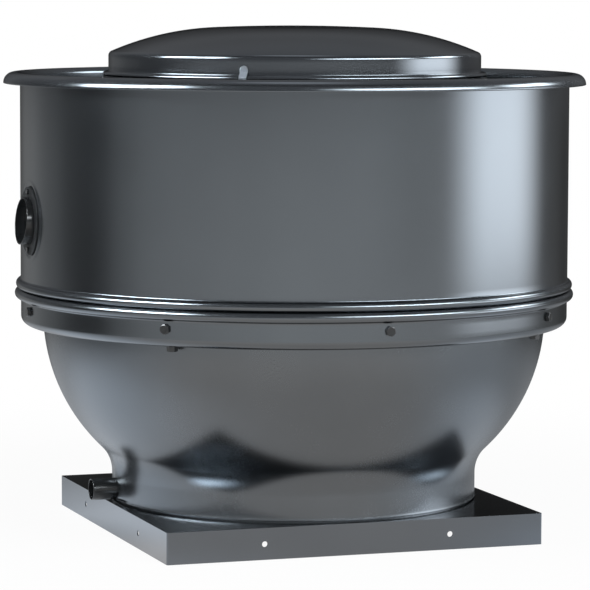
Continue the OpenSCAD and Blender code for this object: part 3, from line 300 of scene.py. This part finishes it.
def even_angles(count):
    """Angles round the axis, in radians."""
    return [2 * math.pi * k / count for k in range(count)]


def finer_angles(count, centre, half, factor):
    """Even angles, with smaller steps within half a width of a centre given in degrees."""
    step = 360 / count
    angles = []
    a = centre - half
    while a < centre + half - 1e-6:
        angles.append(a)
        a += step / factor
    rest = 360 - 2 * half
    n = round(rest / step)
    angles += [centre + half + rest * k / n for k in range(n)]
    return [math.radians(x) for x in angles]


def finish_mesh(name, verts, faces, sharp=35.0, weld=False):
    """An object of these points in metres, smooth but for edges sharper than so many degrees."""
    mesh = bpy.data.meshes.new(name)
    mesh.from_pydata(verts, [], faces)
    if weld:
        bm = bmesh.new()
        bm.from_mesh(mesh)
        bmesh.ops.remove_doubles(bm, verts=bm.verts, dist=1e-7)
        bmesh.ops.delete(bm, geom=[e for e in bm.edges if not e.link_faces], context="EDGES")
        bm.to_mesh(mesh)
        bm.free()
    mesh.validate()
    for p in mesh.polygons:
        p.use_smooth = True
    mesh.set_sharp_from_angle(angle=math.radians(sharp))
    obj = bpy.data.objects.new(name, mesh)
    scene.collection.objects.link(obj)
    return obj


def dress(obj, material, body, stands_for=()):
    """Gives a piece its finish, the body that carries it and the CAD nodes that it replaces."""
    obj.data.materials.clear()
    obj.data.materials.append(MATERIALS[material])
    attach(obj, body)
    if stands_for:
        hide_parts(*stands_for)


def lathe(name, loop, angles, shape=None, weld=False):
    """A closed section turned round the axis. shape moves a point given in millimetres."""
    area = sum(p[0] * q[1] - q[0] * p[1] for p, q in zip(loop, loop[1:] + loop[:1]))
    if area < 0:
        loop = loop[::-1]
    verts, faces = [], []
    count = len(loop)
    for a in angles:
        c, s = math.cos(a), math.sin(a)
        for r, z in loop:
            p = (r * c, r * s, z)
            if shape:
                p = shape(*p)
            verts.append((p[0] * MM, p[1] * MM, p[2] * MM))
    turns = len(angles)
    for i in range(turns):
        j = (i + 1) % turns
        for k in range(count):
            m = (k + 1) % count
            faces.append((i * count + k, j * count + k, j * count + m, i * count + m))
    return finish_mesh(name, verts, faces, weld=weld)


def fade(x):
    """1 at 0 and below, 0 at 1 and above, smooth between."""
    x = min(1.0, max(0.0, x))
    return 1 - x * x * (3 - 2 * x)


# Upper windband: skirt, hem bead, wall and rolled lip, with the pad that the breather sits on
BAND_R, BAND_T = 473.0, 1.6
SKIRT_R, SKIRT_LOW_Z = 470.8, 381.5
HEM_C, HEM_R = (473.5, 425.36), 7.6
BEND_C, BEND_R = (483.2, 776.2), 11.8
ROLL_C, ROLL_R = (483.2, 769.7), 18.3
# The pad: height and radius of its flat, how far from the axis it lies, and its soft edge
PAD_Z, PAD_R, PAD_X, PAD_EDGE = 540.0, 60.0, 471.6, 9.0
# The low rim that the press leaves: how high, how far outside the flat, and how wide
RIM_H, RIM_OFF, RIM_W = 1.3, 4.0, 3.2
# Between these heights the wall has finer steps, for the pad
FINE_LOW_Z, FINE_TOP_Z = 462, 618
# The azimuth that both the breather and the drain point to, in degrees
FITTINGS_AT = 180


def bead_fillet(wall_r, centre, radius, fillet, up):
    """Centre of the hollow fillet between a wall and a bead, and its direction from the bead."""
    dx = wall_r + fillet - centre[0]
    dz = up * math.sqrt((radius + fillet) ** 2 - dx ** 2)
    return (wall_r + fillet, centre[1] + dz), math.degrees(math.atan2(dz, dx))


def breather_pad(x, y, z):
    """Presses the wall flat behind the breather's flange, with a low rim round the flat."""
    d = math.hypot(y, z - PAD_Z)
    w = fade((d - PAD_R) / PAD_EDGE)
    if x > 0 or w <= 0:
        return x, y, z
    r = math.hypot(x, y)
    inner = r < BAND_R - BAND_T / 2
    flat = -PAD_X + (BAND_T if inner else 0)
    rim = RIM_H * math.exp(-((d - PAD_R - RIM_OFF) / RIM_W) ** 2)
    return x + (flat - x) * w - rim, y, z


def make_upper_windband():
    fillet_c, fillet_a = bead_fillet(BAND_R, HEM_C, HEM_R, 3, 1)
    low = -90 - math.degrees(math.asin((HEM_C[0] - SKIRT_R) / HEM_R))
    path = joined(
        line((SKIRT_R, SKIRT_LOW_Z), (SKIRT_R, HEM_C[1] - 7.1), 12),
        arc(HEM_C, HEM_R, low, fillet_a, 7),
        arc(fillet_c, 3, fillet_a + 180, 180, 12),
        line((BAND_R, fillet_c[1]), (BAND_R, FINE_LOW_Z), 10),
        line((BAND_R, FINE_LOW_Z), (BAND_R, FINE_TOP_Z), 3),
        line((BAND_R, FINE_TOP_Z), (BAND_R, BEND_C[1]), 12),
        arc(BEND_C, BEND_R - BAND_T, 180, 90, 6),
        arc(ROLL_C, ROLL_R - BAND_T, 90, 0, 5),
    )
    angles = finer_angles(288, FITTINGS_AT, 11.25, 4)
    obj = lathe("upper_windband_sheet", sheet(path, BAND_T), angles, breather_pad)
    dress(obj, "windband", "housing", ["upper_windband"])


# Support ring: flange, rolled corner, wall and bead
RING_R, RING_T = 472.6, 1.6
FLANGE_Z, CORNER_C, CORNER_R = 356, (458.6, 370), 14
# Where the ring's screws and the struts' screws stand: height, and radius under the flange
RING_SCREW_Z, STRUT_SCREW_R = 385.5, 449


def make_support_ring():
    centre, radius = (474.6, 408.9), 8.6
    fillet_c, fillet_a = bead_fillet(RING_R, centre, radius, 3, -1)
    path = joined(
        line((440.2, FLANGE_Z), (CORNER_C[0], FLANGE_Z), 6),
        arc(CORNER_C, CORNER_R, -90, 0, 6),
        line((RING_R, CORNER_C[1]), (RING_R, fillet_c[1]), 9),
        arc(fillet_c, 3, 180, fillet_a + 180, 12),
        arc(centre, radius, fillet_a, 108, 7),
    )
    obj = lathe("support_ring_sheet", sheet(path, RING_T), even_angles(288))
    dress(obj, "windband", "housing", ["support_ring"])


# Lower windband: neck, sweep and bowl, with the smooth swelling that carries the drain spout
BOWL_C, BOWL_R = (115.9, 373.8), 318.7
SWEEP_C, SWEEP_R = (382.4, 95.8), 66.4
NECK_R = 316.0
BOWL_T = 1.5
SPOUT_Z = 77.7
# The swelling: how far it pushes out, how wide it is and how far it reaches above the spout
SWELL_PUSH, SWELL_W, SWELL_RISE = 9.5, 27.0, 42.0
# The heights where it begins, where it is full and where it has died away
SWELL_FOOT_Z, SWELL_FULL_Z, SWELL_TOP_Z = 57.0, 62.0, 190.0
SWELL_SIDE_X = -200


def drain_swelling(x, y, z):
    """Pushes the neck out round the drain spout."""
    if x > SWELL_SIDE_X or not SWELL_FOOT_Z <= z <= SWELL_TOP_Z:
        return x, y, z
    across = math.exp(-(y / SWELL_W) ** 2)
    above = max(0.0, z - SPOUT_Z)
    upward = math.exp(-(above / SWELL_RISE) ** 2)
    foot = fade((SWELL_FULL_Z - z) / (SWELL_FULL_Z - SWELL_FOOT_Z))
    push = SWELL_PUSH * across * upward * foot
    r = math.hypot(x, y)
    return x * (r + push) / r, y * (r + push) / r, z


def make_lower_windband():
    join = math.degrees(math.atan2(BOWL_C[1] - SWEEP_C[1], BOWL_C[0] - SWEEP_C[0]))
    path = joined(
        [(304, 52.9), (312, 52.9), (312, 54.7), (314.9, 54.8)],
        arc((315.5, 55.9), 1.1, -90, 0, 30),
        [(316.4, 57.4), (316.1, 58.6)],
        line((NECK_R, 60), (NECK_R, SWEEP_C[1]), 3),
        arc(SWEEP_C, SWEEP_R, 180, join, 2.5),
        arc(BOWL_C, BOWL_R, join - 180, -3.4, 1.5),
        arc((437.4, 354.6), 3, 180, 90, 22),
        line((437.4, 357.65), (458.4, 357.65), 6),
    )
    angles = finer_angles(288, FITTINGS_AT, 20, 4)
    obj = lathe("lower_windband_sheet", sheet(path, BOWL_T), angles, drain_swelling)
    dress(obj, "bowl", "housing", ["lower_windband"])


# Motor cover: crown, edge curve, shoulder, wall and rim bead
COVER_T = 1.5
# Points of the crown nearer to the axis than this are drawn onto it
AXIS_REACH = 0.3
# How near the crown's upper or lower face a point on the axis has to be to stay
FACE_REACH = 0.05


def close_crown(loop, top):
    """Closes the cover's section on the axis, with one point on each face of the crown."""
    on_axis = [(0.0, z) if r < AXIS_REACH and top - z < 2 * COVER_T else (r, z)
               for r, z in loop]
    return [p for p in on_axis
            if p[0] > 0.0 or not FACE_REACH < top - p[1] < COVER_T - FACE_REACH]


def make_motor_cover():
    shoulder_c, shoulder_r, shoulder_a = (312.3, 815.9), 9.0, 66.5
    edge_r, crown_end = 498.5, 140.0
    wall_r, bead_c, bead_r = 321.3, (326.0, 784.9), 5.0
    t = math.radians(shoulder_a)
    edge_c = (shoulder_c[0] - (edge_r - shoulder_r) * math.cos(t),
              shoulder_c[1] - (edge_r - shoulder_r) * math.sin(t))
    crown_a = math.degrees(math.acos((crown_end - edge_c[0]) / edge_r))
    crown_r = crown_end / math.cos(math.radians(crown_a))
    crown_c = (0, edge_c[1] - (crown_r - edge_r) * math.sin(math.radians(crown_a)))
    fillet_c, fillet_a = bead_fillet(wall_r, bead_c, bead_r, 2, 1)
    path = joined(
        arc(crown_c, crown_r, 90, crown_a, 0.5),
        arc(edge_c, edge_r, crown_a, shoulder_a, 1.5),
        arc(shoulder_c, shoulder_r, shoulder_a, 0, 6),
        line((wall_r, shoulder_c[1]), (wall_r, fillet_c[1]), 6),
        arc(fillet_c, 2, 180, fillet_a + 180, 15),
        arc(bead_c, bead_r, fillet_a, -140, 10),
    )
    loop = close_crown(sheet(path, -COVER_T), max(p[1] for p in path))
    obj = lathe("motor_cover_sheet", loop, even_angles(240), weld=True)
    dress(obj, "cover", "cover", ["motor_cover"])


make_upper_windband()
make_support_ring()
make_lower_windband()
make_motor_cover()


# Seam: the lapped joint of the windband's sheet, on its inner side
def make_seam():
    verts, faces = [], []
    centre, half, chamfer = 4.4, 0.9, 0.06
    wall, face = BAND_R - BAND_T - 0.1, BAND_R - BAND_T - 0.9
    section = [(wall, -half), (face, chamfer - half), (face, half - chamfer), (wall, half)]
    for z in (441, 768):
        for r, a in section:
            t = math.radians(centre + a)
            verts.append((r * math.cos(t) * MM, r * math.sin(t) * MM, z * MM))
    for k in range(4):
        m = (k + 1) % 4
        faces.append((k, m, m + 4, k + 4))
    faces += [(3, 2, 1, 0), (4, 5, 6, 7)]
    dress(finish_mesh("windband_seam", verts, faces), "windband", "housing")


make_seam()


# Fasteners: hexagon heads with turned corners
HEAD_STEPS = 48
# Share of the half width across flats where the corners' turning ends, where the top face
# begins and where its dish begins, and the depth of the dish
TURNED_TO, FACE_FROM, DISH_FROM, DISH_DEPTH = 0.96, 0.94, 0.55, 0.35


def hex_screw(verts, faces, place, af, height, shank_r, shank_l, turn):
    """Adds a screw. Its head's base is at the origin of place, and it grows along its +Z."""
    steps, half = HEAD_STEPS, af / 2
    chamfer = math.tan(math.radians(30))
    rings = []

    def hexagon(a):
        b = (a + math.pi / 6) % (math.pi / 3) - math.pi / 6
        return half / math.cos(b)

    def ring(radius_of, height_of):
        start = len(verts)
        for k in range(steps):
            a = 2 * math.pi * k / steps
            r = radius_of(a)
            p = place @ Vector((r * math.cos(a + turn) * MM, r * math.sin(a + turn) * MM,
                                height_of(a) * MM))
            verts.append(tuple(p))
        rings.append(start)

    def drop(a):
        return (hexagon(a) - half * TURNED_TO) * chamfer

    ring(lambda a: shank_r, lambda a: -shank_l)
    ring(lambda a: shank_r, lambda a: 0)
    ring(lambda a: hexagon(a) - drop(a), lambda a: 0)
    ring(hexagon, drop)
    ring(hexagon, lambda a: height - drop(a))
    ring(lambda a: half * FACE_FROM, lambda a: height)
    ring(lambda a: half * DISH_FROM, lambda a: height - DISH_DEPTH)
    for lower, upper in zip(rings, rings[1:]):
        for k in range(steps):
            m = (k + 1) % steps
            faces.append((lower + k, lower + m, upper + m, upper + k))
    faces.append(tuple(rings[-1] + k for k in range(steps)))
    faces.append(tuple(rings[0] + k for k in reversed(range(steps))))


def along(point, direction):
    """A place at a point in millimetres whose +Z runs along a direction."""
    turn = Vector(direction).to_track_quat("Z", "Y").to_matrix().to_4x4()
    return Matrix.Translation(Vector(point) * MM) @ turn


def make_screws(name, stands_for, places, *sizes, turn_step, turn_first):
    """Screws at these places, each turned a little further than the one before.

    The sizes are those of hex_screw: across flats, head height, shank radius and length.
    """
    verts, faces = [], []
    for k, place in enumerate(places):
        hex_screw(verts, faces, place, *sizes, math.radians(turn_step * k + turn_first))
    dress(finish_mesh(name, verts, faces, 25), "black_fitting", "housing",
          [stands_for])


def make_fasteners():
    outward = [(math.cos(a), math.sin(a), 0) for a in even_angles(8)]
    make_screws("ring_screws", "ring_bolts",
                [along((RING_R * x, RING_R * y, RING_SCREW_Z), (x, y, z))
                 for x, y, z in outward],
                14.6, 5.5, 4, 14.9, turn_step=11, turn_first=6)
    make_screws("strut_screws", "strut_bolts",
                [along((STRUT_SCREW_R * x, STRUT_SCREW_R * y, FLANGE_Z), (0, 0, -1))
                 for x, y, z in outward[1::2]],
                15.8, 9, 4.75, 17.9, turn_step=17, turn_first=20)


make_fasteners()


# CAD nodes that show as they are: a small edge radius and their own finish
SLOT_OF = {s["node"]: s["material_slot"] for s in frame["record"]["subparts"]}
EDGE_MM = {
    "curb_cap": 1.1, "drain_spout": 0.7, "breather_flange": 1.1, "breather_tube": 0.6,
    "breather_screws": 0.8, "latch_1": 0.35, "latch_2": 0.35, "latch_3": 0.35,
    "latch_brackets": 0.4, "latch_pins": 0.4, "motor_frame": 0.5, "bearing_housings": 2.0,
    "wheel_hub": 1.5, "drive_frame": 1.0, "motor_slide_plate": 1.0, "conduit_box": 1.5,
    "conduit_lid": 0.9, "switch_box": 1.0, "switch_lid": 0.9, "switch_toggle": 0.9,
    "motor_fan_cowl": 0.9, "motor_end_bells": 1.2, "fan_pulley": 0.6, "motor_pulley": 0.6,
}
PLAIN_EDGE_MM = 0.4
# The bevel takes edges sharper than this, after points closer than the weld are joined
EDGE_ANGLE = math.radians(35)
WELD_M = 0.000005
# The finish where it isn't called by the slot's name
MATERIAL_OF_SLOT = {"spun_aluminium": "windband"}
MATERIAL_OF_NODE = {"breather_flange": "black_plate"}


def dress_node(name):
    """Gives a CAD node its finish and, for the eye, its edge radius. Its mesh stays as it is."""
    obj = nodes[name]
    slot = SLOT_OF[name]
    material = MATERIAL_OF_NODE.get(name, MATERIAL_OF_SLOT.get(slot, slot))
    obj.data.materials.clear()
    obj.data.materials.append(MATERIALS[material])
    for p in obj.data.polygons:
        p.use_smooth = True
    weld = obj.modifiers.new("weld", "WELD")
    weld.merge_threshold = WELD_M
    bevel = obj.modifiers.new("edge", "BEVEL")
    bevel.width = EDGE_MM.get(name, PLAIN_EDGE_MM) * MM
    bevel.segments = 2
    bevel.limit_method = "ANGLE"
    bevel.angle_limit = EDGE_ANGLE
    bevel.use_clamp_overlap = True
    bevel.harden_normals = False
    shade = obj.modifiers.new("shade", "WEIGHTED_NORMAL")
    shade.keep_sharp = True


for node_name in sorted(nodes):
    dress_node(node_name)


# Studio
TARGET = (0, 0, 0.5)


def from_view(azimuth, elevation, distance, target=TARGET):
    """A point round the object: azimuth 0 is towards the camera, positive to its right."""
    a, e = math.radians(azimuth), math.radians(elevation)
    ahead = Vector((-math.sin(VIEW_AZ), -math.cos(VIEW_AZ), 0))
    right = Vector((math.cos(VIEW_AZ), -math.sin(VIEW_AZ), 0))
    flat = ahead * math.cos(a) + right * math.sin(a)
    return Vector(target) + distance * (flat * math.cos(e) + Vector((0, 0, math.sin(e))))


def matt_lamp(name, azimuth, elevation, distance, size, radiance):
    """A square lamp that lights matt surfaces and that nothing mirrors."""
    data = bpy.data.lights.new(name, "AREA")
    data.shape = "RECTANGLE"
    data.size = data.size_y = size
    data.energy = radiance * math.pi * size * size
    obj = bpy.data.objects.new(name, data)
    scene.collection.objects.link(obj)
    place = from_view(azimuth, elevation, distance)
    look = (Vector(TARGET) - place).to_track_quat("-Z", "Y").to_matrix().to_4x4()
    obj.matrix_world = Matrix.Translation(place) @ look
    obj.visible_camera = False
    obj.visible_glossy = False


def camera_or_mirrored(tree, path):
    """1 for rays from the camera, for mirrored rays and for rays through glass, or else 0."""
    return math_node(tree, "MAXIMUM", path.outputs["Is Camera Ray"],
                     math_node(tree, "MAXIMUM", path.outputs["Is Glossy Ray"],
                               path.outputs["Is Transmission Ray"]))


def make_world():
    """White to the camera and to mirrors, and a dim, cool fill for matt surfaces."""
    world = bpy.data.worlds.new("studio")
    scene.world = world
    world.use_nodes = True
    tree = world.node_tree
    tree.nodes.clear()
    out = tree.nodes.new("ShaderNodeOutputWorld")
    path = tree.nodes.new("ShaderNodeLightPath")
    white = node(tree, "ShaderNodeBackground", Color=(1, 1, 1, 1), Strength=1.0)
    fill = node(tree, "ShaderNodeBackground", Color=(0.93, 0.97, 1, 1), Strength=0.4)
    mix = tree.nodes.new("ShaderNodeMixShader")
    seen = camera_or_mirrored(tree, path)
    tree.links.new(seen, mix.inputs[0])
    tree.links.new(fill.outputs[0], mix.inputs[1])
    tree.links.new(white.outputs[0], mix.inputs[2])
    tree.links.new(mix.outputs[0], out.inputs[0])


def between(points, x):
    """Value at x on a line of (place, value) points."""
    if x <= points[0][0]:
        return points[0][1]
    for (x0, v0), (x1, v1) in zip(points, points[1:]):
        if x <= x1:
            return v0 + (v1 - v0) * (1 - fade((x - x0) / (x1 - x0)))
    return points[-1][1]


def bump(x, centre, flat, slope):
    """1 within a flat half width of the centre, and down to 0 over a slope."""
    return fade((abs(x - centre) - flat) / slope)


def fall(x, start, width):
    """1 up to start, and down to 0 over a width."""
    return fade((x - start) / width)


def climb(x, start, width):
    """0 up to start, and up to 1 over a width."""
    return 1 - fall(x, start, width)


def mixed(*parts):
    """A colour with alpha: the sum of levels, each in its own tint."""
    return [sum(level * tint[k] for level, tint in parts) for k in range(3)] + [1.0]


# How bright the studio is where mirrored light meets it: its walls low down, by azimuth
LOW_WALL = [(-180, 0.03), (-168, 0.05), (-156, 0.12), (-144, 0.30), (-132, 0.42), (-114, 0.36),
            (-99, 0.18), (-90, 0.11), (-82, 0.15), (-70, 0.46), (-58, 0.70), (-44, 0.82),
            (-20, 0.94), (0, 1.03), (22, 1.0), (50, 0.86), (70, 0.8), (110, 0.4), (122, 0.22),
            (150, 0.06), (180, 0.03)]
LOW_WALL_LEVEL = 1.04
# Higher up, by elevation: over the camera, on both sides and behind the object
FRONT_SKY = [(0, 0.27), (46, 0.30), (52, 0.13), (60, 0.13), (66, 0.36), (74, 0.38),
             (84, 1.1), (90, 1.1)]
SIDE_SKY = [(0, 0.16), (16, 0.20), (40, 0.33), (55, 0.35), (74, 0.36), (84, 1.1), (90, 1.1)]
BACK_SKY = [(0, 0.0), (9, 0.01), (16, 0.06), (32, 0.18), (50, 0.29), (74, 0.36), (84, 1.1),
            (90, 1.1)]
# Where one gives way to the next: a start and a width, in degrees
FRONT_TO_SIDE, SIDE_TO_BACK, WALL_TO_SKY = (50, 60), (140, 35), (-1.4, 5.0)
# A tall window on the right: level, then azimuth, half width and soft edge
WINDOW_LEVEL, WINDOW = 4.4, (90, 7, 24)
# It ends upwards and is weaker near the floor
WINDOW_TOP, WINDOW_FOOT, WINDOW_FOOT_SHARE = (4, 8), (-8.5, 4.5), 0.35
# Soft lamps: azimuth, elevation, tilt, half width and soft edge, half height and soft edge, light
SOFT_LAMPS = [(-66, 27, 15, 14, 12, 4, 6, 40.0),
              (46, 20, 0, 12, 26, 3, 4, 20.0),
              (104, 23, 0, 6, 14, 3, 6, 15.0)]
# How far the floor dims behind the object, by azimuth
FLOOR_SIDES = [(-180, 0.35), (-165, 0.40), (-150, 0.52), (-135, 0.68), (-118, 0.85), (-100, 1.0),
               (74, 1.0), (90, 0.92), (105, 0.70), (120, 0.52), (140, 0.37), (180, 0.33)]
# The floor's mirrored glow near the object, dimmed there as a painted shadow of the object, and
# what it gains further out, from where, in metres
FLOOR_LEVEL, FLOOR_GAIN, FLOOR_GAIN_FROM = 0.80, 0.14, (0.6, 0.7)
# Where it becomes as bright as the walls, and where its warm tint ends, by azimuth
FLOOR_TO_WALL, WARM_TO_COOL = (1.1, 1.6), (30, 50)
# Painted pools of light on the floor's mirrored glow, as metres forward and across. The left one
# is an oval
LEFT_LEVEL, LEFT_AT, LEFT_WAY, LEFT_LONG, LEFT_WIDE = 0.80, (0.05, -0.74), (-0.6, -0.8), 0.95, 0.58
RIGHT_LEVEL, RIGHT_AT, RIGHT_REACH = 0.50, (0.08, 0.60), 0.42
# Where they begin, so that the floor under the neck stays dim, as a painted shadow
PATCHES_FROM = (0.29, 0.14)
WALL_TINT = (0.985, 1.0, 1.005)
SKY_TINT = (0.97, 1.0, 1.06)
SIDE_TINT = (0.96, 1.0, 1.05)
LAMP_TINT = (0.90, 0.96, 1.0)
FLOOR_TINT = (1.06, 1.0, 0.955)
PATCH_TINT = (0.91, 1.0, 1.12)


def lamp_glow(azimuth, elevation, centre, height, tilt, wide, wide_edge, tall, tall_edge, level):
    """Light of a soft lamp in one direction."""
    c, s = math.cos(math.radians(tilt)), math.sin(math.radians(tilt))
    u, v = azimuth - centre, elevation - height
    return (level * bump(u * c + v * s, 0, wide, wide_edge)
            * bump(v * c - u * s, 0, tall, tall_edge))


def wall_glow(azimuth, elevation):
    """Light of the walls, the sky and the lamps in one direction."""
    low = LOW_WALL_LEVEL * between(LOW_WALL, azimuth)
    front = fall(abs(azimuth), *FRONT_TO_SIDE)
    beside = fall(abs(azimuth), *SIDE_TO_BACK)
    sky = (between(FRONT_SKY, elevation) * front
           + (1 - front) * (between(SIDE_SKY, elevation) * beside
                            + between(BACK_SKY, elevation) * (1 - beside)))
    rise = climb(elevation, *WALL_TO_SKY)
    window = WINDOW_LEVEL * bump(azimuth, *WINDOW) * fall(elevation, *WINDOW_TOP)
    window *= WINDOW_FOOT_SHARE + (1 - WINDOW_FOOT_SHARE) * climb(elevation, *WINDOW_FOOT)
    lamps = sum(lamp_glow(azimuth, elevation, *lamp) for lamp in SOFT_LAMPS)
    return mixed((low * (1 - rise), WALL_TINT), (sky * rise, SKY_TINT), (window, SIDE_TINT),
                 (lamps, LAMP_TINT))


def floor_glow(azimuth, distance):
    """Glow that mirrored rays find on the floor: a painted shadow near the object, a painted pool
    of light on either side, and like the walls far away.
    """
    forward = distance * math.cos(math.radians(azimuth))
    across = distance * math.sin(math.radians(azimuth))
    # Painted pools of light beside the object, one oval on the left and one round on the right
    f, a = forward - LEFT_AT[0], across - LEFT_AT[1]
    out = (LEFT_WAY[0] * f + LEFT_WAY[1] * a) / LEFT_LONG
    beside = (-LEFT_WAY[1] * f + LEFT_WAY[0] * a) / LEFT_WIDE
    patches = LEFT_LEVEL * fade(math.hypot(out, beside))
    patches += RIGHT_LEVEL * fade(math.hypot(forward - RIGHT_AT[0], across - RIGHT_AT[1])
                                  / RIGHT_REACH)
    patches *= climb(distance, *PATCHES_FROM)
    # Painted shadow: the glow is dim near the object and brightens further out
    near = FLOOR_LEVEL + FLOOR_GAIN * climb(distance, *FLOOR_GAIN_FROM)
    near *= between(FLOOR_SIDES, azimuth)
    away = climb(distance, *FLOOR_TO_WALL)
    warm = fall(abs(azimuth), *WARM_TO_COOL)
    here = 1 - away
    return mixed((near * warm * here, FLOOR_TINT), (near * (1 - warm) * here, SIDE_TINT),
                 (patches * here, PATCH_TINT), (between(LOW_WALL, azimuth) * away, WALL_TINT))


def glowing(name, verts, faces, glow):
    """A stage piece whose points carry the light that mirrored rays find there."""
    mesh = bpy.data.meshes.new(name)
    mesh.from_pydata(verts, [], faces)
    level = mesh.attributes.new("glow", "FLOAT_COLOR", "POINT")
    level.data.foreach_set("color", glow)
    obj = bpy.data.objects.new(name, mesh)
    scene.collection.objects.link(obj)
    m = bpy.data.materials.new(name)
    m.use_nodes = True
    m.node_tree.nodes.clear()
    mesh.materials.append(m)
    value = m.node_tree.nodes.new("ShaderNodeAttribute")
    value.attribute_name = "glow"
    return obj, m.node_tree, value.outputs["Color"]


# How much of the floor's white is its own glow, up to where and from where all of it is
FLOOR_GLOW_SHARE, SHADOW_REACH, GLOW_ONLY = 0.94, 0.7, 2.0


def make_floor():
    """White to the camera, with a small matt share that takes the object's shadow."""
    cols, steps, reach, low = 120, 56, 12.0, -0.0005
    rings = [reach * (k / steps) ** 2.2 for k in range(steps + 1)]
    verts, faces, glow = [], [], []
    for r in rings:
        for k in range(cols):
            azimuth = -180 + 360 * k / cols
            p = from_view(azimuth, 0, r, (0, 0, 0))
            verts.append((p.x, p.y, low))
            glow.extend(floor_glow(azimuth, r))
    for i in range(len(rings) - 1):
        for k in range(cols):
            m = (k + 1) % cols
            quad = (i * cols + k, i * cols + m, (i + 1) * cols + m, (i + 1) * cols + k)
            faces.append(quad[::-1] if i else quad[3:1:-1] + quad[:1])
    _, tree, shine = glowing("floor", verts, faces, glow)
    out = tree.nodes.new("ShaderNodeOutputMaterial")
    glow_shader = node(tree, "ShaderNodeEmission", Color=(1, 1, 1, 1), Strength=1.0)
    matt = node(tree, "ShaderNodeBsdfDiffuse", Color=(0.9, 0.9, 0.9, 1))
    path = tree.nodes.new("ShaderNodeLightPath")
    seen = camera_or_mirrored(tree, path)
    away = node(tree, "ShaderNodeVectorMath", operation="LENGTH")
    tree.links.new(tree.nodes.new("ShaderNodeTexCoord").outputs["Object"], away.inputs[0])
    share = remap(tree, away.outputs["Value"], SHADOW_REACH, GLOW_ONLY, FLOOR_GLOW_SHARE, 1.0)
    mix = tree.nodes.new("ShaderNodeMixShader")
    tree.links.new(math_node(tree, "MULTIPLY", seen, share), mix.inputs[0])
    tree.links.new(matt.outputs[0], mix.inputs[1])
    tree.links.new(glow_shader.outputs[0], mix.inputs[2])
    tree.links.new(mix.outputs[0], out.inputs[0])
    # Mirrored rays see the floor's glow, with its painted shadow and painted pools of light; the
    # camera sees plain white
    tone = tree.nodes.new("ShaderNodeMix")
    tone.data_type = "RGBA"
    tone.inputs["A"].default_value = (1, 1, 1, 1)
    tree.links.new(shine, tone.inputs["B"])
    tree.links.new(path.outputs["Is Glossy Ray"], tone.inputs["Factor"])
    tree.links.new(tone.outputs["Result"], glow_shader.inputs["Color"])


def make_walls():
    """Studio walls and ceiling, which only mirrored light meets."""
    rows, cols, radius, bottom = 60, 144, 4.2, -8.2
    verts, faces, glow = [], [], []
    for i in range(rows + 1):
        elevation = bottom + (90 - bottom) * i / rows
        for k in range(cols):
            azimuth = -180 + 360 * k / cols
            verts.append(tuple(from_view(azimuth, elevation, radius, (0, 0, 0.6))))
            glow.extend(wall_glow(azimuth, elevation))
    for i in range(rows):
        for k in range(cols):
            m = (k + 1) % cols
            faces.append((i * cols + k, i * cols + m, (i + 1) * cols + m, (i + 1) * cols + k))
    obj, tree, shine = glowing("studio_walls", verts, faces, glow)
    out = tree.nodes.new("ShaderNodeOutputMaterial")
    emit = node(tree, "ShaderNodeEmission", Strength=1.0)
    tree.links.new(shine, emit.inputs["Color"])
    tree.links.new(emit.outputs[0], out.inputs[0])
    for way in ("camera", "diffuse", "transmission", "volume_scatter", "shadow"):
        setattr(obj, "visible_" + way, False)


make_world()
make_floor()
make_walls()
matt_lamp("matt_key", 35, 45, 4.0, 2.5, 4.4)
matt_lamp("matt_fill", -60, 35, 4.0, 2.5, 2.8)
